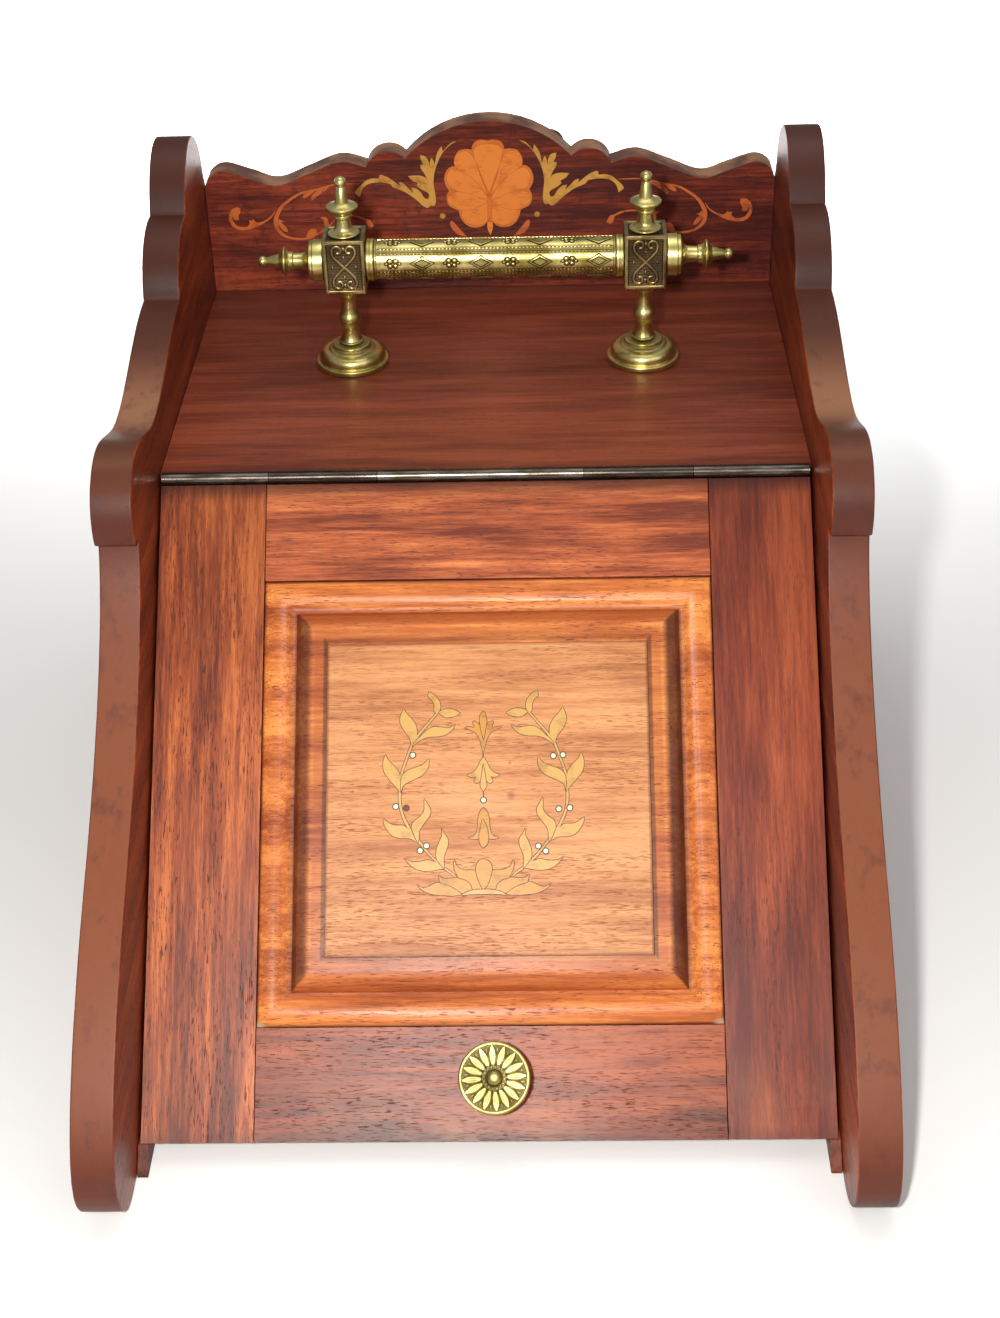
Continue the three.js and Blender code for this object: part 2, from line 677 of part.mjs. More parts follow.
const knobPlace = { x: knobOffset, y: -knobDown };
add(fall, 'knob_rosette', knobRosette(), brass(), knobPlace);
add(fall, 'knob_bolt', knobBolt(), steel(), knobPlace);

// ---------------------------------------------------------------- carrying handle
function pillarBase() {
  const bore = studRadius + seat;
  return turned([
    [bore, 0], [baseRadius, 0], [baseRadius, 3], [18.6, 4.2], [17.6, 6], [15.2, 8.6], [12, 10.4], [9.6, 11],
    [9.6, baseHeight], [bore, baseHeight], [bore, 0],
  ]);
}

function pillarStem() {
  const bore = studRadius + seat;
  const foot = baseHeight + seat;
  const top = blockBottom - seat;
  return turned([
    [bore, foot], [6.4, foot], [6.4, foot + 1.4], [5.9, foot + 2], [4.8, foot + 7], [4.7, foot + 10],
    [5.1, foot + 12.6], [5.2, foot + 14.6], [4.6, foot + 17.6], [4.2, foot + 21], [4.4, top - 5], [6.4, top - 1.8],
    [6.4, top], [bore, top], [bore, foot],
  ], 20);
}

function pillarBlock() {
  const half = blockWidth / 2;
  const barBore = rod(tieRodRadius + seat, -half - 1, half + 1).rotateY(Math.PI / 2);
  const studBore = rod(studRadius + seat, blockBottom - 1, blockBottom + studGrip + seat);
  const spigotBore = rod(topFinial.spigot + seat, blockTop - topFinial.spigotLength - seat, blockTop + 1);
  barBore.translate(0, 0, barHeight);
  return cut(box(-half, half, -half, half, blockBottom, blockTop), [barBore, studBore, spigotBore]);
}

function topFinialTurning() {
  const f = topFinial;
  const foot = seat;
  return turned([
    [0, -f.spigotLength], [f.spigot, -f.spigotLength], [f.spigot, foot], [f.flange, foot], [f.flange, 1],
    [6, 2.2], [4.5, 4.4], [f.neck, 8.2], [4.8, 10.2], [5, 11.2], [f.disc - 0.4, 14.2], [f.disc, 14.9],
    [f.disc - 0.2, 15.5], [3.3, 17.4], [2.1, 25.4], [2, f.length - 5.2], [2.9, f.length - 4], [2.9, f.length - 1.8],
    [1.9, f.length - 0.4], [0, f.length],
  ], 20);
}

function pillarNut() {
  return cut(rod(nutRadius, 0, nutHeight, 6), [rod(studRadius + seat, -1, nutHeight + 1, 12)]);
}

// End finial, lying along +Z from the block's face, bored for the tie rod
function endFinialTurning() {
  const f = endFinial;
  const bore = tieRodRadius + seat;
  const w = f.flangeWidth;
  return turned([
    [0, w + 2], [bore, w + 2], [bore, seat], [f.flange - 0.4, seat], [f.flange, 1], [f.flange, w - 2.2],
    [f.flange - 0.6, w - 0.6], [f.flange - 1.4, w], [5.4, w + 1.4], [f.neck, w + 3.4], [f.neck, w + 8.4],
    [4.8, w + 9.8], [f.disc - 0.4, w + 12.6], [f.disc, w + 13.4], [f.disc - 0.6, w + 14], [3.8, w + 16.2],
    [1.9, f.length - 4.4], [2.6, f.length - 3.4], [2.6, f.length - 1.4], [1.7, f.length - 0.3], [0, f.length],
  ], 20);
}

const handle = new THREE.Group();
handle.position.set(handleOffset, pillarDepth, shelfHeight);
coalBox.add(handle);

const studFoot = -shelfThickness - seat - nutHeight - 1;
for (const { name, sign } of hands) {
  const pillar = new THREE.Group();
  pillar.position.x = sign * pillarReach;
  handle.add(pillar);
  add(pillar, `${name}_pillar_base`, pillarBase(), brass(), { z: seat / 2 });
  add(pillar, `${name}_pillar_stem`, pillarStem(), brass());
  add(pillar, `${name}_pillar_block`, pillarBlock(), brass());
  add(pillar, `${name}_top_finial`, topFinialTurning(), brass(), { z: blockTop });
  add(pillar, `${name}_pillar_stud`, rod(studRadius, studFoot, blockBottom + studGrip, 12), steel());
  add(pillar, `${name}_pillar_nut`, pillarNut(), steel(), { z: -shelfThickness - seat - nutHeight });
  add(pillar, `${name}_end_finial`, endFinialTurning(), brass(), {
    x: sign * blockWidth / 2, z: barHeight, turnY: sign * Math.PI / 2,
  });
  const collarStart = pillarReach - blockWidth / 2 - seat - collarWidth;
  const collar = ring(collarRadius, tieRodRadius + seat, 0, collarWidth);
  add(handle, `${name}_bar_collar`, collar, brass(), {
    x: sign < 0 ? -collarStart - collarWidth : collarStart, z: barHeight, turnY: Math.PI / 2,
  });
}
const barHalfLength = pillarReach - blockWidth / 2 - 2 * seat - collarWidth;
const bar = ring(barRadius, barRadius - barWall, -barHalfLength, barHalfLength, 32);
add(handle, 'handle_bar', bar, brass(), { z: barHeight, turnY: Math.PI / 2 });
const tieRodHalf = pillarReach + blockWidth / 2 + endFinial.flangeWidth + 1;
add(handle, 'handle_tie_rod', rod(tieRodRadius, -tieRodHalf, tieRodHalf, 12), steel(), {
  z: barHeight, turnY: Math.PI / 2,
});

// ---------------------------------------------------------------- liner
function linerShell() {
  const foot = floorTop + seat;
  const back = backBoardFace - seat - linerBackGap;
  const outer = polygon([
    [slopeDepth(linerSetback, foot), foot],
    [back, foot],
    [back, linerHeight],
    [slopeDepth(linerSetback, linerHeight), linerHeight],
  ]);
  const inside = linerSetback + linerWall;
  const outside = linerSetback - 6;
  const above = linerHeight + 10;
  const hollow = polygon([
    [slopeDepth(inside, foot + linerWall), foot + linerWall],
    [back - linerWall, foot + linerWall],
    [back - linerWall, above],
    [slopeDepth(outside, above), above],
    [slopeDepth(outside, linerLip), linerLip],
    [slopeDepth(inside, linerLip), linerLip],
  ]);
  const pivotBores = hands.map(({ sign }) => {
    const [x0, x1] = span(sign, linerHalfWidth - 6, linerHalfWidth + 6);
    const bore = rod(bailWire + seat, x0, x1, 12).rotateY(Math.PI / 2);
    return bore.translate(0, bailPivot.depth, bailPivot.height);
  });
  const innerHalf = linerHalfWidth - linerWall;
  const body = boardAlongX(outer, -linerHalfWidth, linerHalfWidth);
  return cut(body, [boardAlongX(hollow, -innerHalf, innerHalf), ...pivotBores]);
}

// Ear: a riveted plate with a round eye for the bail's end
function ear() {
  const outline = new THREE.Shape();
  outline.moveTo(-earRadius, -earRadius * 1.6);
  outline.lineTo(earRadius, -earRadius * 1.6);
  outline.lineTo(earRadius, 0);
  outline.absarc(0, 0, earRadius, 0, Math.PI, false);
  outline.closePath();
  const eye = rod(bailWire + seat, -earThickness, earThickness, 12).rotateY(Math.PI / 2);
  return cut(boardAlongX(outline, -earThickness / 2, earThickness / 2, 8), [eye]);
}

// Bail: a wire that turns in both ears, runs forward and crosses over the liner's mouth
function bail() {
  const halfEnd = linerHalfWidth - linerWall - pivotTail;
  const pieces = [rod(bailWire, -bailHalfWidth, bailHalfWidth, 12).rotateY(Math.PI / 2).translate(0, -bailReach, 0)];
  for (const { sign } of hands) {
    const [x0, x1] = span(sign, halfEnd, bailHalfWidth);
    pieces.push(rod(bailWire, x0, x1, 12).rotateY(Math.PI / 2));
    pieces.push(rod(bailWire, 0, bailReach, 12).rotateX(Math.PI / 2).translate(sign * bailHalfWidth, 0, 0));
    for (const reach of [0, bailReach]) {
      const knuckle = new THREE.SphereGeometry(bailWire, 12, 8);
      pieces.push(closed(knuckle).translate(sign * bailHalfWidth, -reach, 0));
    }
  }
  return join(pieces);
}

// At rest the bail leans forward until it lies on the liner's sloping front edges
const pivotSetback = bailPivot.depth * Math.sin(slope) - (bailPivot.height - fallFoot) * Math.cos(slope);
const restSetback = linerSetback - bailWire - seat;
const bailRest = Math.asin((pivotSetback - restSetback) / bailReach) - slope;

add(coalBox, 'liner_shell', linerShell(), blackIron());
for (const { name, sign } of hands) {
  add(coalBox, `${name}_liner_ear`, ear(), blackIron(), {
    x: sign * (linerHalfWidth + seat + earThickness / 2), y: bailPivot.depth, z: bailPivot.height,
  });
}
add(coalBox, 'liner_bail', bail(), blackIron(), {
  y: bailPivot.depth, z: bailPivot.height, turnX: -bailRest,
});

// ---------------------------------------------------------------- shovel and its bracket
function shovelGrip() {
  const foot = gripFoot;
  const boreEnd = foot + shankTang + seat;
  const bore = shankRadius + seat;
  const k = gripKnobRadius;
  const along = (share) => foot + share * gripLength;
  const below = (distance) => shovelTop - distance;
  return turned([
    [0, boreEnd], [bore, boreEnd], [bore, foot], [8, foot], [9.4, along(0.09)], [gripBellyRadius, along(0.23)],
    [9.6, along(0.37)], [7.6, along(0.51)], [6.6, along(0.62)], [7.4, along(0.69)], [10.5, below(24.7)],
    [k - 1.2, below(18.7)], [k, below(14.7)], [k - 0.8, below(11.3)], [k - 3, below(9.5)], [7.5, below(8.7)],
    [8.4, below(6.7)], [8, below(3.7)], [5, below(0.8)], [0, shovelTop],
  ]);
}

function shovelPan() {
  const mouth = panTop - panLength;
  const front = panBack + panDepth;
  const shell = polygon([
    [panBack, mouth], [panBack + panMouthDepth, mouth], [front, mouth + panLength * 0.72],
    [front, panTop], [panBack, panTop],
  ]);
  const hollow = polygon([
    [panBack + panWall, mouth - 1], [front + 1, mouth - 1],
    [front + 1, panTop - panWall], [panBack + panWall, panTop - panWall],
  ]);
  const inner = panHalfWidth - panWall;
  return cut(boardAlongX(shell, -panHalfWidth, panHalfWidth), [boardAlongX(hollow, -inner, inner)]);
}

function shovelShank() {
  const foot = panTop + seat;
  const top = gripFoot + shankTang;
  return turned([
    [0, foot], [8.5, foot], [8.5, foot + 2], [6, foot + 5], [shankRadius, foot + 12],
    [shankRadius, top], [0, top],
  ], 20);
}

// Fork bracket: a plate on the back board with two prongs that the ferrule rests on
function shovelBracket() {
  const slot = shankRadius + seat * 2;
  const outer = slot + bracketArm.prong;
  const tip = shovelStandOff + ferruleRadius + seat + bracketArm.lipThickness;
  const half = bracketArm.thickness / 2;
  const fork = new THREE.Shape();
  fork.moveTo(-outer, seat);
  fork.lineTo(outer, seat);
  fork.lineTo(outer, tip);
  fork.lineTo(slot, tip);
  fork.lineTo(slot, shovelStandOff);
  fork.absarc(0, shovelStandOff, slot, 0, -Math.PI, true);
  fork.lineTo(-slot, tip);
  fork.lineTo(-outer, tip);
  fork.closePath();
  const lips = hands.map(({ sign }) => {
    const [x0, x1] = span(sign, slot, outer);
    return box(x0, x1, tip - bracketArm.lipThickness, tip, -half, half + bracketArm.lip);
  });
  const plate = box(
    -bracketPlate.width / 2, bracketPlate.width / 2, seat, seat + bracketPlate.thickness,
    -bracketPlate.height / 2, bracketPlate.height / 2);
  const holes = [-1, 1].map((way) => {
    const hole = rod(bracketScrewRadius + seat, -5, 5, 12).rotateX(Math.PI / 2);
    return hole.translate(0, 0, way * bracketScrewSpacing / 2);
  });
  return cut(join([plate, boardAlongZ(fork, -half, half), ...lips]), holes);
}

function bracketScrew() {
  const { radius, height } = bracketScrewHead;
  const tip = -bracketScrewLength;
  return turned([
    [0, tip], [bracketScrewRadius, tip + 3], [bracketScrewRadius, seat], [radius, seat],
    [radius, seat + height * 0.4], [radius * 0.6, seat + height], [0, seat + height],
  ], 12);
}

const shovel = new THREE.Group();
shovel.position.set(shovelOffset, 0, 0);
coalBox.add(shovel);
add(shovel, 'shovel_grip', shovelGrip(), ebony(), { y: shovelDepth });
add(shovel, 'shovel_ferrule', ring(ferruleRadius, shankRadius + seat, ferruleFoot, ferruleFoot + ferruleLength),
  brass(), { y: shovelDepth });
add(shovel, 'shovel_shank', shovelShank(), blackIron(), { y: shovelDepth });
add(shovel, 'shovel_pan', shovelPan(), blackIron());
add(shovel, 'shovel_bracket', shovelBracket(), brass(), { y: backDepth, z: bracketHeight });
[-1, 1].forEach((way, i) => {
  add(shovel, `bracket_screw_${i + 1}`, bracketScrew(), brass(), {
    y: backDepth + seat + bracketPlate.thickness,
    z: bracketHeight + way * bracketScrewSpacing / 2,
    turnX: -Math.PI / 2,
  });
});

export default coalBox;
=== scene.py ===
"""Looks of a slope-front mahogany coal box with a brass carrying handle.

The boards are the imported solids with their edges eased. The brasses, the marquetry and the knob are
modelled here on the places that the frame gives. Sizes in the tables below are millimetres.
"""
import json
import math

import bpy
from mathutils import Matrix, Vector

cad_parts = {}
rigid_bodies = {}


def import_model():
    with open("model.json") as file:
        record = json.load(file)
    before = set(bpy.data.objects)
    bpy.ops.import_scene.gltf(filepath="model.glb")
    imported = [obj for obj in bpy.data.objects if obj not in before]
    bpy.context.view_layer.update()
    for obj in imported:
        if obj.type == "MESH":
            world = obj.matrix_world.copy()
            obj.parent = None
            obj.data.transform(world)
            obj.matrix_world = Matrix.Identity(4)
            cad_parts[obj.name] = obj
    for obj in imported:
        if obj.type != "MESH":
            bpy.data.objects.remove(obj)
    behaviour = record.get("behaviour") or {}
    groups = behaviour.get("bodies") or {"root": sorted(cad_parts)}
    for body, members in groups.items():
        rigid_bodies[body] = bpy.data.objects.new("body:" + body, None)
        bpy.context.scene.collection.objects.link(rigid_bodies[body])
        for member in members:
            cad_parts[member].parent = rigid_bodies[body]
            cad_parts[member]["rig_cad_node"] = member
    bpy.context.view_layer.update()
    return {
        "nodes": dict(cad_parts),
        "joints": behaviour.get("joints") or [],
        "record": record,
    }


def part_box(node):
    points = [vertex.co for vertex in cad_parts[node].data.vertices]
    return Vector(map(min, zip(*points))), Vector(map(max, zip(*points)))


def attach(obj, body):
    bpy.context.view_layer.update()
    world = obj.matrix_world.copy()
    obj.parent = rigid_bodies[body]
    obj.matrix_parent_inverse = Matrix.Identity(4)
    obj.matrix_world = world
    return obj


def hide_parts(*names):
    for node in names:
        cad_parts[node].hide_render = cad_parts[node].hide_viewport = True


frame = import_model()

MM = 0.001
BODY = {
    node: body
    for body, nodes in frame["record"]["behaviour"]["bodies"].items()
    for node in nodes
}
HANDS = {"left": -1, "right": 1}

# ------------------------------------------------------------------ places taken from the frame
SLOPE = math.radians(42.53)
HINGE = next(Vector(j["pos_m"]) for j in frame["joints"] if j["name"] == "fall_hinge")
FALL = Matrix.Translation(HINGE) @ Matrix.Rotation(SLOPE, 4, "X")
SHELF_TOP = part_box("shelf_board")[1].z
GALLERY_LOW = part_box("gallery_board")[0]
PANEL_LOW, PANEL_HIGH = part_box("fall_raised_panel")
PANEL_MIDDLE = (PANEL_LOW.x + PANEL_HIGH.x) / 2
PANEL_HALF = (PANEL_HIGH.x - PANEL_LOW.x) / 2
BLOCKS = {hand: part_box(f"{hand}_pillar_block") for hand in HANDS}
BAR_LOW, BAR_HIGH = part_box("handle_bar")
BAR_MIDDLE = (BAR_LOW + BAR_HIGH) / 2
KNOB_MIDDLE = sum(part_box("knob_bolt"), Vector()) / 2

PANEL_DOWN = (53.3, 268.5)  # raised board's ends, down the slope from the hinge
TABLET_DOWN = 162  # tablet's middle, down the slope from the hinge
TABLET_FACE = 6.9  # tablet's face above the frame of the fall
TABLET_HALF = (77, 75)  # half its width and half its length
KNOB_DOWN = 292.7  # knob's middle, down the slope from the hinge


# ------------------------------------------------------------------ shader values and nodes
class Value:
    """A socket of a node tree, so that sums are written as Python expressions"""

    def __init__(self, paint, socket):
        self.paint = paint
        self.socket = socket

    def sum(self, operation, *others):
        return self.paint.node("ShaderNodeMath", {"operation": operation}, enumerate([self, *others]))

    def __add__(self, other):
        return self.sum("ADD", other)

    def __radd__(self, other):
        return self.sum("ADD", other)

    def __sub__(self, other):
        return self.sum("SUBTRACT", other)

    def __rsub__(self, other):
        return self.paint.node("ShaderNodeMath", {"operation": "SUBTRACT"}, enumerate([other, self]))

    def __mul__(self, other):
        return self.sum("MULTIPLY", other)

    def __rmul__(self, other):
        return self.sum("MULTIPLY", other)

    def __truediv__(self, other):
        return self.sum("DIVIDE", other)

    def __pow__(self, other):
        return self.sum("POWER", other)

    def size(self):
        return self.sum("ABSOLUTE")

    def least(self, other):
        return self.sum("MINIMUM", other)

    def most(self, other):
        return self.sum("MAXIMUM", other)

    def between(self, low, high):
        """0 below low, 1 above high and a smooth step between them"""
        inputs = {"Value": self, "From Min": low, "From Max": high}
        return self.paint.node("ShaderNodeMapRange", {"interpolation_type": "SMOOTHSTEP"}, inputs.items())

    def within(self, low, full, falling, gone):
        """1 from full to falling and 0 outside low and gone, with smooth steps"""
        return self.between(low, full) * (1 - self.between(falling, gone))


class Paint:
    """One material, made of nodes"""

    def __init__(self, name):
        self.material = bpy.data.materials.new(name)
        self.material.use_nodes = True
        self.tree = self.material.node_tree
        self.shader = self.tree.nodes["Principled BSDF"]
        self.object_place = self.node("ShaderNodeTexCoord", output="Object")

    def node(self, kind, settings=None, inputs=(), output=0):
        """A node with its settings, then its inputs; with no output named, all its outputs"""
        made = self.tree.nodes.new(kind)
        for key, setting in (settings or {}).items():
            if key == "stops":
                self.set_stops(made.color_ramp.elements, setting)
            else:
                setattr(made, key, setting)
        for key, given in inputs:
            self.feed(made.inputs[key], given)
        if output is None:
            return [Value(self, socket) for socket in made.outputs]
        return Value(self, made.outputs[output])

    @staticmethod
    def set_stops(elements, stops):
        while len(elements) < len(stops):
            elements.new(0.5)
        for element, (place, colour) in zip(elements, stops):
            element.position = place
            element.color = colour

    def feed(self, socket, given):
        if isinstance(given, Value):
            self.tree.links.new(given.socket, socket)
        else:
            socket.default_value = given

    def placed(self, origin=(0, 0, 0), turn=0.0, scale=(1, 1, 1)):
        """Object coordinates seen from an origin, turned about X and stretched"""
        back = Matrix.Rotation(-turn, 3, "X")
        shift = -(back @ Vector(origin))
        straight = self.node("ShaderNodeMapping", None, {
            "Vector": self.object_place, "Location": shift, "Rotation": (-turn, 0, 0)}.items())
        return self.node("ShaderNodeMapping", None, {"Vector": straight, "Scale": scale}.items())

    def axes(self, vector):
        return self.node("ShaderNodeSeparateXYZ", None, [(0, vector)], output=None)

    def normal_axes(self):
        return self.axes(self.node("ShaderNodeTexCoord", output="Normal"))

    def noise(self, vector, scale=1.0, detail=2.0, roughness=0.5, distortion=0.0):
        inputs = {"Vector": vector, "Scale": scale, "Detail": detail, "Roughness": roughness,
                  "Distortion": distortion}
        return self.node("ShaderNodeTexNoise", None, inputs.items())

    def mix(self, share, first, second):
        """Colour that goes from first to second as share goes from 0 to 1"""
        inputs = {0: share, 6: first, 7: second}
        return self.node("ShaderNodeMix", {"data_type": "RGBA"}, inputs.items(), output=2)

    def ramp(self, share, stops):
        return self.node("ShaderNodeValToRGB", {"stops": stops}, [(0, share)])

    def finish(self, colour, roughness, height=None, depth=0.0002, strength=0.5, **plain):
        """Links what varies and sets plain numbers on the shader's own sockets"""
        self.feed(self.shader.inputs["Base Color"], colour)
        self.feed(self.shader.inputs["Roughness"], roughness)
        for key, number in plain.items():
            self.shader.inputs[key.replace("_", " ").title().replace("Ior", "IOR")].default_value = number
        if height is not None:
            bump = self.node("ShaderNodeBump", None, {
                "Height": height, "Distance": depth, "Strength": strength}.items())
            self.feed(self.shader.inputs["Normal"], bump)
        return self.material


def rgb(red, green, blue):
    """A colour read as eight-bit display values, as the linear colour that shaders take"""
    def linear(part):
        part /= 255
        return part / 12.92 if part <= 0.04045 else ((part + 0.055) / 1.055) ** 2.4
    return (linear(red), linear(green), linear(blue), 1.0)


# ------------------------------------------------------------------ wood finishes
def grained(paint, along, near, across, turn=0.0, shift=(0, 0, 0)):
    """Coordinates stretched along the grain: near and across are features per metre"""
    scale = [across, across, across]
    scale["XYZ".index(along)] = near
    return paint.placed(origin=shift, turn=turn, scale=scale)


MIDDLE_TONE = 0.51  # noises average a half, so a tone is centred by its shares


def mahogany(name, light, middle, dark, pore, along="X", turn=0.0, pores=0.6, cloudy=0.35,
             gloss=0.33, fine=1.0, dense=0.0, seed=0.0, extra=None):
    """Polished mahogany: streaks, fibres, short dark pores and a soft ribbon figure"""
    paint = Paint(name)
    shift = (seed, seed * 0.7, seed * 1.3)
    cloud = paint.noise(grained(paint, along, 5, 16, turn, shift), detail=2)
    ribbon = paint.noise(grained(paint, along, 9, 85, turn, shift), detail=3, roughness=0.55)
    streak = paint.noise(grained(paint, along, 26, 520, turn, shift), detail=3, roughness=0.6)
    fibre = paint.noise(grained(paint, along, 120, 2400, turn, shift), detail=2)
    fleck = paint.noise(grained(paint, along, 210, 2100, turn, shift), detail=1, roughness=0.4)
    shares = 0.62 + cloudy / 2 + 0.44 * fine
    tone = cloud * cloudy + ribbon * (0.62 - cloudy / 2) + streak * (0.3 * fine) + fibre * (0.14 * fine)
    tone = tone + (MIDDLE_TONE - shares / 2)
    colour = paint.ramp(tone, [
        (MIDDLE_TONE - 0.11, dark), (MIDDLE_TONE, middle), (MIDDLE_TONE + 0.11, light)])
    crowd = paint.noise(grained(paint, along, 14, 120, turn, shift), detail=2).between(0.35, 0.62)
    pore_mask = fleck.between(0.6 - dense, 0.68 - dense) * (crowd * 0.7 + 0.3)
    colour = paint.mix(pore_mask * pores, colour, pore)
    roughness = gloss + fibre * 0.12 + pore_mask * 0.2
    if extra:
        colour, roughness = extra(paint, colour, roughness)
    height = fibre * 0.25 + streak * 0.2 - pore_mask * 0.6
    return paint.finish(colour, roughness, height, depth=0.00012, strength=0.45,
                        specular_ior_level=0.3)


# Sides: pale chips low on one toe, a dark stain on the other, darker in blotches along the foot; their front
# edges carry painted light: lighter where they face up, a painted highlight on the ledges and painted shade
# towards the top
def side_wear_and_painted_light(hand):
    def extra(paint, colour, roughness):
        facing = paint.normal_axes()
        _, y, z = paint.axes(paint.object_place)
        blotch = paint.noise(paint.placed(scale=(90, 60, 60)), detail=4, roughness=0.65)
        edge = 1 - facing[0].size().between(0.35, 0.75)
        # painted light: the front edges are painted lighter where they face up, and a painted highlight is laid
        # on the ledges
        upward = facing[2].between(0.25, 0.95)
        ledge_highlight = facing[2].between(0.86, 0.985) * (1 - z.between(250 * MM, 270 * MM))
        edge_colour = paint.mix(
            (upward * 0.6 + blotch * 0.3 - 0.12).least(1.0).most(0.0),
            rgb(92, 42, 28), rgb(148, 84, 52))
        # painted shade: the front edges darken towards the top of the sides
        edge_colour = paint.mix(z.between(205 * MM, 290 * MM) * 0.82, edge_colour, rgb(46, 14, 7))
        edge_colour = paint.mix(ledge_highlight * 0.65, edge_colour, rgb(190, 136, 100))
        edge_colour = paint.mix(blotch.between(0.5, 0.72) * 0.5, edge_colour, rgb(66, 32, 32))
        colour = paint.mix(edge, colour, edge_colour)
        low = 1 - z.between(4 * MM, 30 * MM)
        front = 1 - y.between(-265 * MM, -215 * MM)
        if hand == "right":
            stain = low * front * blotch.between(0.35, 0.6)
            colour = paint.mix(stain * 0.9, colour, rgb(34, 18, 16))
        else:
            chip = (1 - z.between(1 * MM, 12 * MM)) * front * blotch.between(0.5, 0.56)
            colour = paint.mix(chip * 0.9, colour, rgb(196, 182, 170))
        rim = (1 - z.between(0, 6 * MM)) * blotch.between(0.42, 0.6)
        colour = paint.mix(rim * 0.7, colour, rgb(40, 24, 20))
        return colour, roughness + edge * 0.08
    return extra


# Moulding of the raised board: painted shade and dirt in its valley, deepest at the sides, on the right and along
# the top; painted shade on the riser, along the tablet's edge and round the board's outer edge; pale putty chips
# at its lower corners
def moulding_shade(paint, colour, roughness):
    middle = FALL @ Vector((PANEL_MIDDLE, -sum(PANEL_DOWN) / 2 * MM, 0))
    x, y, z = paint.axes(paint.placed(origin=middle, turn=SLOPE))
    from_side = PANEL_HALF - x.size()
    from_end = (PANEL_DOWN[1] - PANEL_DOWN[0]) / 2 * MM - y.size()
    border = from_side.least(from_end)
    front = z.between(-12 * MM, -6 * MM)
    at_side = (from_end - from_side).between(-1 * MM, 1 * MM)
    blotch = paint.noise(paint.placed(scale=(40, 40, 40)), detail=3)
    hollow = border.within(12.5 * MM, 17.2 * MM, 21.5 * MM, 25.8 * MM)
    right = x.between(0, 10 * MM) * at_side
    top = y.between(0, 10 * MM) * (1 - at_side)
    # colour of the painted shade in the valley: darkest at the sides, brown along the ends
    valley_shade_colour = paint.mix(at_side, rgb(150, 66, 20), rgb(66, 21, 8))
    shade = hollow * (0.4 + top * 0.4 + at_side * 0.36 + right * 0.12) * (0.8 + blotch * 0.4) * front
    colour = paint.mix(shade.least(1.0), colour, valley_shade_colour)
    # painted shade on the riser
    riser = border.within(24.5 * MM, 26.2 * MM, 29.2 * MM, 30.2 * MM)
    colour = paint.mix(riser * 0.4 * front, colour, rgb(146, 70, 34))
    # painted shade along the tablet's edge, stronger at the sides
    line = border.within(29.3 * MM, 30.4 * MM, 31.8 * MM, 32.8 * MM)
    colour = paint.mix(line * (0.4 + at_side * 0.3) * front, colour, rgb(66, 26, 12))
    # painted shade in the gap round the board's outer edge
    outer = (1 - border.between(0, 1.6 * MM)) * 0.75
    colour = paint.mix(outer, colour, rgb(58, 22, 12))
    lower = 1 - y.between(-107.5 * MM, -103.5 * MM)
    corner = lower * (1 - from_side.between(2 * MM, 6 * MM)) * blotch.between(0.3, 0.5)
    colour = paint.mix(corner * 0.8, colour, rgb(188, 162, 130))
    return colour, roughness + hollow * 0.3


# Shelf: darker towards the gallery and along its front edge
def shelf_shade(paint, colour, roughness):
    _, y, _ = paint.axes(paint.object_place)
    blotch = paint.noise(paint.placed(scale=(16, 16, 16)), detail=3)
    back = y.between(50 * MM, 225 * MM)
    colour = paint.mix(back * 0.35 + blotch * 0.15, colour, rgb(54, 20, 16))
    front = 1 - y.between(8 * MM, 13 * MM)
    return paint.mix(front * 0.6, colour, rgb(40, 18, 14)), roughness + blotch * 0.06


# Gallery: dark mottling, and a duller grey-brown top edge
def gallery_shade(paint, colour, roughness):
    facing = paint.normal_axes()
    mottle = paint.noise(paint.placed(scale=(110, 40, 60)), detail=5, roughness=0.7)
    colour = paint.mix(mottle.between(0.5, 0.68) * 0.62, colour, rgb(62, 22, 26))
    worn = paint.noise(paint.placed(scale=(60, 60, 60)), detail=3)
    top = facing[2].size().between(0.25, 0.6)
    rim = paint.mix(worn.between(0.35, 0.65), rgb(92, 64, 52), rgb(150, 112, 84))
    return paint.mix(top * 0.9, colour, rim), roughness + top * 0.15


# Stiles and rails: painted shade over the upper part and in a band under the hinge, grime at their foot and a
# painted sheen low down
def fall_shade(paint, colour, roughness):
    _, y, _ = paint.axes(paint.placed(origin=HINGE, turn=SLOPE))
    blotch = paint.noise(paint.placed(scale=(30, 30, 30)), detail=4)
    # painted shade: darker towards the hinge
    upper = y.between(-150 * MM, 0)
    colour = paint.mix(upper * 0.3, colour, rgb(70, 28, 14))
    # painted shade in a band just under the hinge
    top = y.between(-14 * MM, -4 * MM)
    foot = 1 - y.between(-319.5 * MM, -314 * MM)
    colour = paint.mix(top * 0.75, colour, rgb(46, 18, 12))
    colour = paint.mix(foot * blotch * 0.8, colour, rgb(70, 26, 16))
    # painted sheen: a pale haze near the foot
    painted_sheen = (1 - y.between(-318 * MM, -270 * MM)) * blotch.between(0.4, 0.7)
    colour = paint.mix(painted_sheen * 0.16, colour, rgb(204, 140, 96))
    return colour, roughness


# Bruises on the tablet: across and up from its middle, reach, and share of the dark colour
BRUISES = [
    (10.6, 16.2, 1.1, 0.7), (10.9, 0.2, 1.9, 0.5), (-64.5, 3, 0.8, 0.8), (-60, 37, 0.7, 0.6),
    (-49, 39, 0.6, 0.5)]


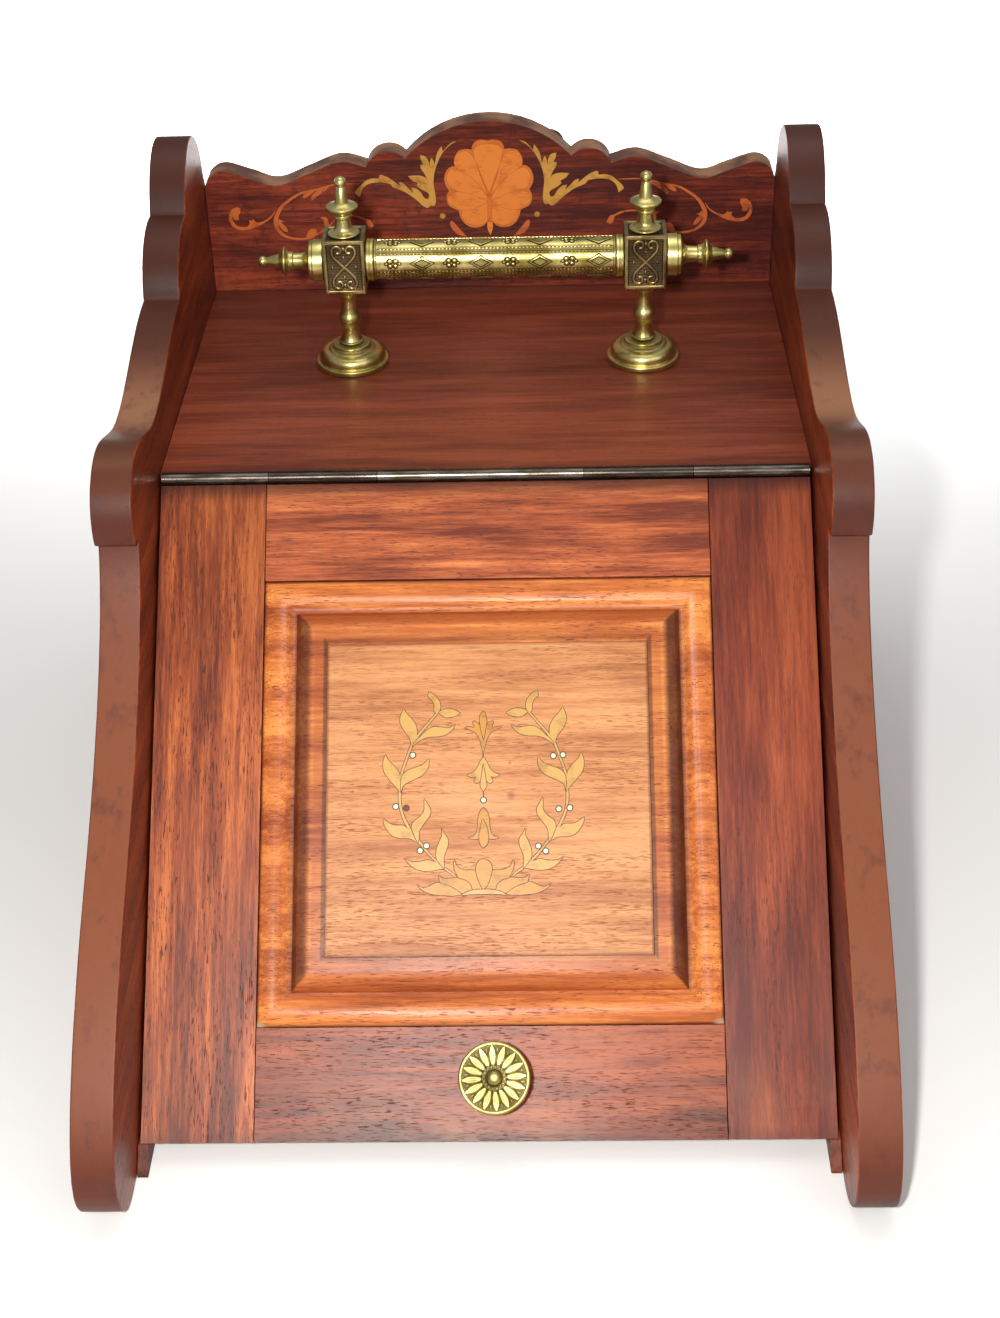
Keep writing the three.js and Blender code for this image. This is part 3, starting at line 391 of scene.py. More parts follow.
# Tablet: its bruises, and darker along its edge
def tablet_shade(paint, colour, roughness):
    middle = FALL @ Vector((PANEL_MIDDLE, -TABLET_DOWN * MM, 0))
    x, y, _ = paint.axes(paint.placed(origin=middle, turn=SLOPE))
    wander = paint.noise(paint.placed(scale=(420, 420, 420)), detail=2) * (1.6 * MM)
    for across, up, reach, depth in BRUISES:
        away = ((x - across * MM) ** 2.0 + (y - up * MM) ** 2.0) ** 0.5 + wander
        spot = 1 - away.between(reach * 0.7 * MM, reach * 1.9 * MM)
        colour = paint.mix(spot * depth, colour, rgb(112, 56, 44))
    from_side = TABLET_HALF[0] * MM - x.size()
    from_end = TABLET_HALF[1] * MM - y.size()
    rim = 1 - from_side.least(from_end).between(0.3 * MM, 1.6 * MM)
    return paint.mix(rim * 0.6, colour, rgb(92, 44, 22)), roughness


def inlay_wood(name, light, dark, seed=0.0, gloss=0.34):
    """Marquetry wood: even, with fine short grain and a scorched shade at places"""
    paint = Paint(name)
    shift = (seed, seed, seed)
    grain = paint.noise(grained(paint, "X", 240, 1500, 0.0, shift), detail=3)
    shade = paint.noise(paint.placed(origin=shift, scale=(130, 130, 130)), detail=2)
    tone = grain * 0.35 + shade * 0.65
    colour = paint.ramp(tone, [(0.34, dark), (0.5, light), (0.72, light)])
    return paint.finish(colour, gloss + grain * 0.1, grain, depth=0.00005, strength=0.3)


def pine_boards(name):
    """Dusty unpolished deal, for the back and the floor"""
    paint = Paint(name)
    ring = paint.noise(grained(paint, "X", 5, 150), detail=4, distortion=0.4)
    fibre = paint.noise(grained(paint, "X", 60, 1500), detail=2)
    dust = paint.noise(paint.placed(scale=(25, 25, 25)), detail=5, roughness=0.6)
    colour = paint.ramp(ring * 0.8 + fibre * 0.2, [
        (0.38, rgb(92, 62, 42)), (0.5, rgb(134, 98, 66)), (0.66, rgb(160, 124, 88))])
    colour = paint.mix(dust.between(0.5, 0.75) * 0.45, colour, rgb(58, 44, 36))
    return paint.finish(colour, 0.72 + fibre * 0.15, fibre + ring * 0.5, depth=0.0003, strength=0.5)


def ebonised(name):
    """Black stained wood, rubbed brown in places"""
    paint = Paint(name)
    fibre = paint.noise(grained(paint, "Z", 60, 1400), detail=2)
    rub = paint.noise(paint.placed(scale=(45, 45, 45)), detail=4)
    colour = paint.mix(rub.between(0.55, 0.75) * 0.4, rgb(22, 18, 17), rgb(66, 46, 36))
    return paint.finish(colour, 0.24 + rub * 0.16, fibre, depth=0.0001, strength=0.3)


# ------------------------------------------------------------------ metal finishes
def aged_brass(name, recess=None, bright=rgb(212, 192, 120), dull=rgb(148, 132, 68),
               dark=rgb(64, 54, 28), rough=0.25):
    """Old lacquered brass, darker where polish never reaches; recess gives that share"""
    paint = Paint(name)
    cloud = paint.noise(paint.placed(scale=(70, 70, 70)), detail=4, roughness=0.6)
    speck = paint.noise(paint.placed(scale=(900, 900, 900)), detail=2)
    colour = paint.mix(cloud.between(0.36, 0.66), bright, dull)
    colour = paint.mix(speck.between(0.62, 0.72) * 0.35, colour, dark)
    roughness = rough + cloud * 0.16
    if recess:
        hollow = recess(paint)
        colour = paint.mix(hollow * 0.85, colour, dark)
        roughness = roughness + hollow * 0.3
    return paint.finish(colour, roughness, speck * 0.4 + cloud, depth=0.00008, strength=0.35, metallic=1.0)


def steel_with_painted_shade(name, bright, dark, rough=0.3):
    """Drawn steel, mottled, left bright where it faces forward and darkened by painted shade where it faces up
    and where it faces down
    """
    paint = Paint(name)
    drawn = paint.noise(paint.placed(scale=(24, 1400, 1400)), detail=2)
    cloud = paint.noise(paint.placed(scale=(60, 420, 420)), detail=4, roughness=0.6)
    facing = paint.normal_axes()
    colour = paint.mix(cloud.between(0.36, 0.64), bright, dark)
    colour = paint.mix(drawn.between(0.55, 0.7) * 0.4, colour, rgb(96, 70, 48))
    # painted shade on the faces that look up and down
    painted_shade = (facing[2].between(0.86, 0.99) + (1 - facing[2].between(-0.2, 0.3))).least(1.0)
    colour = paint.mix(painted_shade * 0.75, colour, rgb(34, 26, 22))
    return paint.finish(colour, rough + cloud * 0.16, drawn + cloud, depth=0.00005, strength=0.3,
                        metallic=0.9)


def japanned(name, metal=0.0):
    """Black stoved enamel on sheet iron, scuffed to bare metal and dusty with coal"""
    paint = Paint(name)
    orange_peel = paint.noise(paint.placed(scale=(500, 500, 500)), detail=2)
    scuff = paint.noise(paint.placed(scale=(40, 260, 40)), detail=5, roughness=0.7)
    dust = paint.noise(paint.placed(scale=(18, 18, 18)), detail=4)
    colour = paint.mix(dust.between(0.45, 0.75) * 0.6, rgb(24, 23, 23), rgb(66, 60, 56))
    colour = paint.mix(scuff.between(0.6, 0.7) * 0.7, colour, rgb(112, 84, 64))
    return paint.finish(colour, 0.38 + dust * 0.3, orange_peel + scuff, depth=0.0001, strength=0.35,
                        metallic=metal)


# ------------------------------------------------------------------ modelling helpers
def alone(piece):
    bpy.ops.object.select_all(action="DESELECT")
    piece.select_set(True)
    bpy.context.view_layer.objects.active = piece


def editing(piece):
    alone(piece)
    bpy.ops.object.mode_set(mode="EDIT")
    bpy.ops.mesh.select_mode(type="VERT")
    bpy.ops.mesh.select_all(action="SELECT")


def done():
    bpy.ops.object.mode_set(mode="OBJECT")


def applied(piece, kind, **settings):
    alone(piece)
    modifier = piece.modifiers.new(kind.title(), kind)
    for key, setting in settings.items():
        setattr(modifier, key, setting)
    bpy.ops.object.modifier_apply(modifier=modifier.name)


def smooth(piece, degrees=35):
    alone(piece)
    bpy.ops.object.shade_smooth_by_angle(angle=math.radians(degrees))


def added(kind, name, **settings):
    """A primitive alone in the selection, with its place and size in its mesh"""
    bpy.ops.object.select_all(action="DESELECT")
    getattr(bpy.ops.mesh, f"primitive_{kind}_add")(**settings)
    piece = bpy.context.object
    piece.name = name
    bpy.ops.object.transform_apply(location=True, rotation=True, scale=True)
    return piece


def moved(piece, matrix):
    piece.data.transform(matrix)
    piece.data.update()
    return piece


def joined(name, pieces):
    bpy.ops.object.select_all(action="DESELECT")
    for piece in pieces:
        piece.select_set(True)
    bpy.context.view_layer.objects.active = pieces[0]
    if len(pieces) > 1:
        bpy.ops.object.join()
    made = bpy.context.view_layer.objects.active
    made.name = name
    return made


def copied(piece, matrix):
    twin = piece.copy()
    twin.data = piece.data.copy()
    bpy.context.scene.collection.objects.link(twin)
    return moved(twin, matrix)


def outward(piece):
    editing(piece)
    bpy.ops.mesh.remove_doubles(threshold=0.000002)
    bpy.ops.mesh.normals_make_consistent(inside=False)
    done()
    return piece


def worn(piece, material, slot, body, nodes=()):
    """Gives a piece its finish and its place in the working model"""
    piece.data.materials.clear()
    piece.data.materials.append(material)
    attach(piece, body)
    if nodes:
        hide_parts(*nodes)
    return piece


def eased(node, edge=0.7, sharp=35, keep=25):
    """A copy of a solid with its sharp edges rounded by hand-plane and polish"""
    source = frame["nodes"][node]
    piece = source.copy()
    piece.data = source.data.copy()
    del piece["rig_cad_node"]
    piece.parent = None
    piece.name = f"{node}_eased"
    bpy.context.scene.collection.objects.link(piece)
    alone(piece)
    bpy.ops.mesh.customdata_custom_splitnormals_clear()
    editing(piece)
    bpy.ops.mesh.remove_doubles(threshold=0.00001)
    bpy.ops.mesh.dissolve_limited(angle_limit=math.radians(0.6))
    done()
    if edge:
        applied(piece, "BEVEL", width=edge * MM, segments=3, limit_method="ANGLE",
                angle_limit=math.radians(sharp), use_clamp_overlap=True)
    smooth(piece, keep)
    applied(piece, "WEIGHTED_NORMAL", keep_sharp=True)
    return piece


def board(node, material, slot, edge=0.7, sharp=35, keep=25):
    return worn(eased(node, edge, sharp, keep), material, slot, BODY[node], [node])


# ------------------------------------------------------------------ turned work
def bow(start, end, rise, steps=6):
    """Points on a round stretch of a profile; it swells outwards where rise is positive"""
    start, end = Vector(start), Vector(end)
    chord = end - start
    radius = (chord.length_squared / 4 + rise ** 2) / (2 * rise)
    away = Vector((chord.y, -chord.x)).normalized()
    centre = (start + end) / 2 + away * (rise - radius)
    turn = 4 * math.atan(2 * rise / chord.length)
    return [centre + Matrix.Rotation(turn * k / steps, 2) @ (start - centre) for k in range(1, steps + 1)]


def profile(start, *moves):
    """Radius and height from foot to top: (r, h) is a straight stretch, (r, h, rise) a round one"""
    points = [Vector(start)]
    for move in moves:
        if len(move) == 2:
            points.append(Vector(move))
        else:
            points.extend(bow(points[-1], move[:2], move[2]))
    return points


def turned(name, points, steps=56, keep=32):
    """Turns a profile about +Z"""
    first = points[0]
    piece = added("plane", name, size=MM, location=(first.x * MM, 0, first.y * MM))
    editing(piece)
    bpy.ops.mesh.merge(type="CENTER")
    for here, there in zip(points, points[1:]):
        step = (there - here) * MM
        bpy.ops.mesh.extrude_region_move(TRANSFORM_OT_translate={"value": (step.x, 0, step.y)})
    bpy.ops.mesh.select_all(action="SELECT")
    bpy.ops.mesh.spin(steps=steps, angle=math.tau, center=(0, 0, 0), axis=(0, 0, 1))
    done()
    outward(piece)
    smooth(piece, keep)
    return piece


# ------------------------------------------------------------------ marquetry
OUTLINE_CUTS = 5  # short straight lines between two points of an outline


def along_curve(points, t):
    """A point on the smooth line through the points, for t from 0 to 1"""
    last = len(points) - 1
    place = min(t * last, last - 1e-6)
    k = int(place)
    u = place - k
    p1, p2 = points[k], points[k + 1]
    p0 = points[k - 1] if k > 0 else [2 * a - b for a, b in zip(p1, p2)]
    p3 = points[k + 2] if k + 2 <= last else [2 * b - a for a, b in zip(p1, p2)]
    return [
        0.5 * (2 * b + (c - a) * u + (2 * a - 5 * b + 4 * c - d) * u ** 2 + (3 * b - a - 3 * c + d) * u ** 3)
        for a, b, c, d in zip(p0, p1, p2, p3)
    ]


def strip(points, widths, grow=0.0, mirrored=False):
    """A flat strip whose middle follows the points and whose width swells and tapers"""
    if mirrored:
        points = [(-x, y) for x, y in points]
    places = [(x, y, w) for (x, y), w in zip(points, widths)]
    piece = added("grid", "strip", x_subdivisions=4 * len(points), y_subdivisions=1, size=2)
    for corner in piece.data.vertices:
        t = (corner.co.x + 1) / 2
        side = 1 if corner.co.y > 0 else -1
        x, y, width = along_curve(places, t)
        ahead = Vector(along_curve(places, min(t + 0.01, 1))[:2])
        behind = Vector(along_curve(places, max(t - 0.01, 0))[:2])
        way = (ahead - behind).normalized()
        reach = max(width, 0.0) / 2 + grow
        corner.co = Vector((x - way.y * side * reach, y + way.x * side * reach, 0)) * MM
    return piece


def rounded(points):
    """A closed line through the points: smooth, but pointed at those with a third value"""
    corners = [k for k, point in enumerate(points) if len(point) == 3]
    start = corners[0] if corners else 0
    ring = [*points[start:], *points[:start]]
    runs = [[ring[0][:2]]]
    for point in [*ring[1:], ring[0]]:
        runs[-1].append(point[:2])
        if len(point) == 3:
            runs.append([point[:2]])
    line = []
    for run in runs:
        spans = len(run) - 1
        line += [Vector(along_curve(run, k / (spans * OUTLINE_CUTS))) for k in range(spans * OUTLINE_CUTS)]
    return line


def edging(line, reach):
    """A narrow ribbon along a closed line, as wide on both sides of it"""
    count = len(line)
    piece = added("grid", "edging", x_subdivisions=count, y_subdivisions=1, size=2)
    for corner in piece.data.vertices:
        k = round((corner.co.x + 1) / 2 * count) % count
        way = (line[(k + 1) % count] - line[k - 1]).normalized()
        side = 1 if corner.co.y > 0 else -1
        place = line[k] + Vector((-way.y, way.x)) * reach * side
        corner.co = Vector((place.x, place.y, 0)) * MM
    return piece


def outline(points, grow=0.0, mirrored=False):
    """The flat shape inside a closed line, or the dark line itself where it grows"""
    if mirrored:
        points = [(-point[0], *point[1:]) for point in points]
    line = rounded(points)
    if grow:
        return edging(line, grow)
    piece = added("circle", "inlay", vertices=len(line), radius=MM, fill_type="NGON")
    for corner, place in zip(piece.data.vertices, line):
        corner.co = Vector((place.x, place.y, 0)) * MM
    return piece


def whole(half):
    """Both halves of an outline that is the same on both sides of the axis"""
    return [*half, *[(-point[0], *point[1:]) for point in reversed(half) if abs(point[0]) > 0.5]]


def disc(x, y, radius, grow=0.0):
    return added("circle", "disc", vertices=24, radius=(radius + grow) * MM, fill_type="NGON",
                 location=(x * MM, y * MM, 0))


def laid(name, shapes, level, ground):
    """Flat shapes made one thin inlay, its face at a level above the ground's plane"""
    piece = joined(name, shapes)
    editing(piece)
    bpy.ops.mesh.remove_doubles(threshold=0.000001)
    bpy.ops.mesh.extrude_region_move(TRANSFORM_OT_translate={"value": (0, 0, -INLAY_DEPTH * MM)})
    bpy.ops.mesh.select_all(action="SELECT")
    bpy.ops.mesh.normals_make_consistent(inside=False)
    done()
    moved(piece, Matrix.Translation((0, 0, (level + INLAY_DEPTH) * MM)))
    return moved(piece, ground)


LINE = 0.3  # width of the dark line round each piece of inlay
LINE_SINK = 0.04  # the line's face, below the inlay's
INLAY_DEPTH = 0.03


def marquetry(name, shapes, ground, material, slot, body, level=0.05, line=LINE, edge=None):
    """Shapes of one wood, each a function of how far it is grown, with a dark line round them"""
    rim = laid(f"{name}_line", [shape(line) for shape in shapes], level - LINE_SINK, ground)
    worn(rim, edge or dark_line, "dark_inlay", body)
    worn(laid(name, [shape(0.0) for shape in shapes], level, ground), material, slot, body)


def leaves(*outlines):
    """Each outline on the left and its mirror image on the right"""
    return [lambda grow, points=points, flip=flip: outline(points, grow, flip)
            for points in outlines for flip in (False, True)]


def middle_pieces(*halves):
    return [lambda grow, half=half: outline(whole(half), grow) for half in halves]


def stalks(*strips):
    return [lambda grow, points=points, widths=widths, flip=flip: strip(points, widths, grow, flip)
            for points, widths in strips for flip in (False, True)]


def discs(*places):
    return [lambda grow, place=place: disc(*place, grow) for place in places]


# ------------------------------------------------------------------ materials of this box
side_woods = {
    hand: mahogany(f"side_{hand}", rgb(158, 72, 32), rgb(120, 46, 20), rgb(80, 28, 15), rgb(40, 15, 10),
                   along="Y", pores=0.4, seed=0.4 + sign * 0.21, extra=side_wear_and_painted_light(hand))
    for hand, sign in HANDS.items()
}
stop_wood = mahogany("fall_stop", rgb(128, 70, 48), rgb(96, 46, 32), rgb(60, 28, 22), rgb(30, 14, 12),
                     along="Y", pores=0.4, gloss=0.5)
shelf_wood = mahogany("shelf", rgb(146, 70, 45), rgb(122, 55, 34), rgb(96, 40, 25), rgb(54, 20, 14),
                      pores=0.35, cloudy=0.3, gloss=0.26, seed=1.1, extra=shelf_shade)
gallery_wood = mahogany("gallery", rgb(150, 64, 36), rgb(112, 42, 26), rgb(68, 23, 17), rgb(44, 16, 18),
                        pores=0.7, seed=2.3, gloss=0.32, fine=1.6, extra=gallery_shade)
left_stile_wood = mahogany("left_stile", rgb(196, 106, 52), rgb(150, 70, 34), rgb(96, 37, 19),
                           rgb(62, 22, 14), along="Y", turn=SLOPE, pores=0.85, fine=1.3, seed=3.1,
                           extra=fall_shade)
right_stile_wood = mahogany("right_stile", rgb(170, 82, 46), rgb(134, 57, 32), rgb(96, 35, 22),
                            rgb(62, 24, 18), along="Y", turn=SLOPE, pores=0.4, cloudy=0.5, seed=4.6,
                            extra=fall_shade)
top_rail_wood = mahogany("top_rail", rgb(246, 148, 86), rgb(196, 100, 57), rgb(122, 52, 32), rgb(58, 22, 16),
                         pores=0.75, seed=5.2, extra=fall_shade)
bottom_rail_wood = mahogany("bottom_rail", rgb(166, 80, 36), rgb(124, 50, 23), rgb(78, 27, 13),
                            rgb(60, 24, 18), pores=0.7, seed=6.7, extra=fall_shade)
panel_wood = mahogany("raised_board", rgb(232, 146, 72), rgb(196, 106, 50), rgb(142, 66, 30),
                      rgb(78, 32, 18), pores=0.8, seed=7.9, gloss=0.28, extra=moulding_shade)
tablet_wood = mahogany("tablet", rgb(216, 152, 98), rgb(198, 131, 80), rgb(168, 101, 57), rgb(108, 58, 32),
                       pores=0.6, cloudy=0.22, seed=8.8, gloss=0.36, fine=1.2, dense=0.035,
                       extra=tablet_shade)
satinwood = inlay_wood("satinwood", rgb(200, 152, 74), rgb(176, 126, 54), seed=0.2)
old_satinwood = inlay_wood("old_satinwood", rgb(206, 150, 66), rgb(160, 104, 40), seed=0.5)
amber_wood = inlay_wood("amber_wood", rgb(194, 132, 40), rgb(160, 100, 26), seed=0.8)
shell_wood = inlay_wood("shell_wood", rgb(230, 132, 52), rgb(204, 104, 36), seed=1.4)
shell_rim_wood = inlay_wood("shell_rim_wood", rgb(214, 114, 42), rgb(182, 86, 30), seed=1.9)
scroll_wood = inlay_wood("scroll_wood", rgb(198, 98, 40), rgb(150, 66, 28), seed=2.6)
bone = inlay_wood("holly_berry", rgb(226, 222, 190), rgb(206, 196, 158), seed=3.3)
dark_line = inlay_wood("dark_line", rgb(72, 38, 16), rgb(44, 22, 12), seed=4.1, gloss=0.5)
scorched_line = inlay_wood("scorched_line", rgb(176, 88, 32), rgb(138, 62, 22), seed=4.8)
deal = pine_boards("deal")
black_wood = ebonised("ebonised")
enamel = japanned("japanned_iron")
bare_iron = japanned("blackened_iron", metal=0.7)
bright_steel = steel_with_painted_shade("bright_steel", rgb(128, 118, 108), rgb(74, 63, 54), rough=0.2)
dull_steel = steel_with_painted_shade("dull_steel", rgb(92, 82, 74), rgb(56, 46, 40), rough=0.2)
brass_plain = aged_brass("brass_plain")
sunk_brass = aged_brass("brass_sunk", bright=rgb(92, 78, 42), dull=rgb(62, 50, 30), rough=0.5)

# ------------------------------------------------------------------ boards
for hand in HANDS:
    board(f"{hand}_side", side_woods[hand], "case_mahogany", edge=1.1)
    board(f"{hand}_fall_stop", stop_wood, "case_mahogany", edge=0.4)
    board(f"{hand}_runner", deal, "carcass_pine", edge=0.4)
board("gallery_board", gallery_wood, "gallery_mahogany", edge=1.0)
board("shelf_board", shelf_wood, "case_mahogany", edge=0.4)
board("back_board", deal, "carcass_pine", edge=0.5)
board("floor_board", deal, "carcass_pine", edge=0.5)
board("fall_left_stile", left_stile_wood, "fall_mahogany", edge=0.5)
board("fall_right_stile", right_stile_wood, "fall_mahogany", edge=0.5)
board("fall_top_rail", top_rail_wood, "fall_mahogany", edge=0.5)
board("fall_bottom_rail", bottom_rail_wood, "fall_mahogany", edge=0.5)
board("fall_raised_panel", panel_wood, "panel_mahogany", edge=0.3, sharp=50, keep=40)
board("fall_inlay_tablet", tablet_wood, "tablet_veneer", edge=0.25)

# ------------------------------------------------------------------ hinge and fixings
board("shelf_hinge_leaf", bright_steel, "hinge_steel", edge=0.0, keep=30)
board("fall_hinge_leaf", dull_steel, "hinge_steel", edge=0.0, keep=30)
FIXINGS = ("_screw", "_pin", "_bolt", "_rod", "_nut", "_stud")
for node, solid in frame["nodes"].items():
    if any(kind in node for kind in FIXINGS):
        solid.data.materials.clear()
        solid.data.materials.append(dull_steel)

# ------------------------------------------------------------------ liner and shovel
board("liner_shell", enamel, "japanned_iron", edge=0.3)
board("liner_bail", enamel, "japanned_iron", edge=0.0, keep=50)
for hand in HANDS:
    board(f"{hand}_liner_ear", enamel, "japanned_iron", edge=0.2)
board("shovel_pan", bare_iron, "forged_iron", edge=0.3)
board("shovel_shank", bare_iron, "forged_iron", edge=0.0, keep=40)
board("shovel_bracket", brass_plain, "aged_brass", edge=0.3)


def shovel_grip():
    low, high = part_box("shovel_grip")
    axis = (low + high) / 2
    foot, top = low.z / MM, high.z / MM
    reach = (high.x - low.x) / 2 / MM
    piece = turned("shovel_grip_turned", profile(
        (0, foot + 30), (4.8, foot + 30), (4.8, foot), (8, foot), (8.6, foot + 1, 0.2), (9, foot + 8),
        (10.5, foot + 24, 0.3), (6.6, foot + 62, 0.8), (reach - 4.6, top - 24, -1.2),
        (reach - 2.4, top - 19, -0.6), (reach - 2.6, top - 9.6, 2.3), (8, top - 8.8, -0.3),
        (8.2, top - 3.6, 0.7), (0, top, 1.2)), steps=40)
    moved(piece, Matrix.Translation((axis.x, axis.y, 0)))
    worn(piece, black_wood, "ebonised_wood", BODY["shovel_grip"], ["shovel_grip"])


def shovel_ferrule():
    low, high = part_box("shovel_ferrule")
    axis = (low + high) / 2
    foot, top = low.z / MM, high.z / MM
    piece = turned("shovel_ferrule_turned", profile(
        (4.8, foot), (8.4, foot), (8.4, foot + 2, 0.4), (8, foot + 2.6), (7.9, top - 3.2, 0.3),
        (8.4, top - 2.6), (8.4, top, 0.4), (4.8, top), (4.8, foot)), steps=40)
    moved(piece, Matrix.Translation((axis.x, axis.y, 0)))
    worn(piece, brass_plain, "aged_brass", BODY["shovel_ferrule"], ["shovel_ferrule"])


shovel_grip()
shovel_ferrule()

# ------------------------------------------------------------------ carrying handle
BASE = profile(
    (2.8, 0.15), (19, 0.15), (19.7, 0.9, 0.15), (19.7, 2.2), (19.1, 3.1, 0.25), (18.2, 3.3),
    (17.8, 3.9, -0.2), (12.6, 9.2, 2), (10.6, 10.1, 0.15), (10.2, 10.5), (10.1, 11.4), (9.7, 12.3, 0.35),
    (8.6, 12.6), (2.8, 12.6), (2.8, 0.15))
STEM = profile(
    (2.8, 12.9), (6.4, 12.9), (6.5, 14, 0.3), (5.9, 14.4), (4.7, 22, -0.6), (4.9, 22.6), (4.8, 30, 1.2),
    (4.7, 30.6), (4.2, 34, -0.15), (6.1, 42.3, -0.9), (6.4, 43, 0.15), (6.4, 44.6), (2.8, 44.6), (2.8, 12.9))
TOP_FINIAL = profile(
    (0, -4.7), (2.2, -4.7), (2.2, 0.2), (8.2, 0.2), (8.2, 0.9, 0.15), (7.8, 1.1), (4.3, 5.4, -1.1),
    (3.9, 8.6, -0.1), (4.6, 9.3), (4.9, 10.1, 0.2), (4.7, 10.9, 0.1), (7.8, 14.1, -0.6), (8.3, 14.9, 0.2),
    (8.1, 15.5, 0.1), (4, 17.2, -0.2), (3.5, 17.4), (2.35, 25.3), (2, 25.8), (0, 31.1, 2.1))
END_FINIAL = profile(
    (0, 9), (3.3, 9), (3.3, 0.3), (10.7, 0.3), (11, 0.8, 0.1), (11, 5.4), (10.6, 5.9, 0.15), (10.4, 6.1),
    (10.4, 7.2), (9.7, 7.9, 0.25), (4.4, 10.8, -0.9), (4.1, 16.2, -0.1), (4.7, 16.8), (4.7, 17.6, 0.15),
    (7.1, 20.5, -0.6), (7.5, 21.2, 0.2), (7.1, 21.9, 0.1), (4.2, 24.1, -0.2), (3.8, 24.3), (2.15, 30.7),
    (1.9, 31), (0, 35.5, 1.8))
FINIAL_GAP = 0.1  # the end finial's face, off the block's side


# Polish never reaches the necks and steps of the turnings
def crevice(paint):
    _, _, z = paint.axes(paint.object_place)
    blotch = paint.noise(paint.placed(scale=(150, 150, 150)), detail=3)
    rise = (z - SHELF_TOP) / MM
    foot = 1 - rise.between(0.0, 2.4)
    dome = rise.within(9.4, 10.2, 10.5, 11.2)
    top = rise.within(12.2, 12.6, 13.2, 14.6)
    under = rise.within(41.5, 43.5, 44.6, 44.9)
    return (foot + dome + top + under).least(1.0) * (blotch * 0.7 + 0.15)


def stood(name, shape, place, finish, node):
    worn(moved(turned(name, shape), place), finish, "aged_brass", "carcass", [node])


def brass_turnings():
    """Bases, stems, collars and finials of both pillars"""
    finish = aged_brass("brass_turned", recess=crevice, bright=rgb(228, 212, 142), dull=rgb(176, 162, 92))
    for hand, sign in HANDS.items():
        low, high = BLOCKS[hand]
        middle = (low + high) / 2
        foot = Matrix.Translation((middle.x, middle.y, SHELF_TOP))
        stood(f"{hand}_pillar_base_turned", BASE, foot, finish, f"{hand}_pillar_base")
        stood(f"{hand}_pillar_stem_turned", STEM, foot, finish, f"{hand}_pillar_stem")
        crown = Matrix.Translation((middle.x, middle.y, high.z))
        stood(f"{hand}_top_finial_turned", TOP_FINIAL, crown, finish, f"{hand}_top_finial")
        outer = (high.x if sign > 0 else low.x) + sign * FINIAL_GAP * MM
        lying = Matrix.Translation((outer, middle.y, middle.z)) @ Matrix.Rotation(sign * math.pi / 2, 4, "Y")
        stood(f"{hand}_end_finial_turned", END_FINIAL, lying, finish, f"{hand}_end_finial")
        near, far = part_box(f"{hand}_bar_collar")
        width = (far.x - near.x) / MM
        ring = profile(
            (3.3, 0), (10.6, 0), (11, 0.4, 0.1), (11, width / 2 - 0.4), (10.7, width / 2, -0.1),
            (11, width / 2 + 0.4, -0.1), (11, width - 0.4), (10.6, width, 0.1), (3.3, width), (3.3, 0))
        across = Matrix.Translation((near.x, middle.y, middle.z)) @ Matrix.Rotation(math.pi / 2, 4, "Y")
        stood(f"{hand}_bar_collar_turned", ring, across, finish, f"{hand}_bar_collar")


brass_turnings()

# ---- bar: five engraved bands of diamonds and four-petalled flowers between rows of beads
BAR_GROUND = 9.98
BAR_BANDS = 5
BAND_WIDTH = math.tau * BAR_GROUND / BAR_BANDS
FIGURE_STEP = 15.45  # a flower, then a diamond
FIGURES = 8
FIRST_FIGURE = -53.5
BAND_LENGTH = 124
BEAD_STEP = 1.93
BEAD_ROW = 4.75  # rows of beads, from the band's middle
FIRST_BAND = 8.5  # degrees: the band that faces the front is turned a little upwards


def flat_lozenge(x, half_long, half_wide):
    """A lozenge lying flat, cut small enough to wrap round the bar"""
    piece = added("circle", "lozenge", vertices=4, radius=MM, fill_type="TRIFAN")
    moved(piece, Matrix.Translation((x * MM, 0, 0.12 * MM)) @ Matrix.Diagonal((half_long, half_wide, 1, 1)))
    editing(piece)
    bpy.ops.mesh.subdivide(number_cuts=2)
    done()
    return piece


def lozenge(x):
    """A raised pointed frame round a groove and a flat heart"""
    rim = added("circle", "lozenge", vertices=4, radius=MM, fill_type="NGON")
    moved(rim, Matrix.Translation((x * MM, 0, 0)) @ Matrix.Diagonal((5.85, 3.2, 1, 1)))
    editing(rim)
    bpy.ops.mesh.extrude_region_move(TRANSFORM_OT_translate={"value": (0, 0, 0.5 * MM)})
    bpy.ops.mesh.inset(thickness=0.15 * MM, depth=0.05 * MM)
    bpy.ops.mesh.inset(thickness=0.4 * MM, depth=0)
    bpy.ops.mesh.inset(thickness=0.15 * MM, depth=-0.55 * MM)
    bpy.ops.mesh.inset(thickness=0.3 * MM, depth=0)
    bpy.ops.mesh.inset(thickness=0.2 * MM, depth=0.5 * MM)
    done()
    return rim


PETAL_PLACES = [  # along the bar and round it, then half its length and half its width
    (-1.55, 1.35, 1.5, 1.15), (1.55, 1.35, 1.5, 1.15), (-1.4, -1.3, 1.15, 1), (1.4, -1.3, 1.15, 1),
    (-3.4, 0, 0.9, 0.55), (3.4, 0, 0.9, 0.55)]


def blossom(x, grow=0.0, tall=0.55):
    """Two upper and two lower round petals and a small leaf at each hand"""
    return [
        added("uv_sphere", "petal", segments=12, ring_count=6, radius=MM,
              scale=(long + grow, wide + grow, tall), location=((x + across) * MM, up * MM, 0))
        for across, up, long, wide in PETAL_PLACES
    ]


def figure_places():
    return [(FIRST_FIGURE + k * FIGURE_STEP, k % 2 == 0) for k in range(FIGURES)]


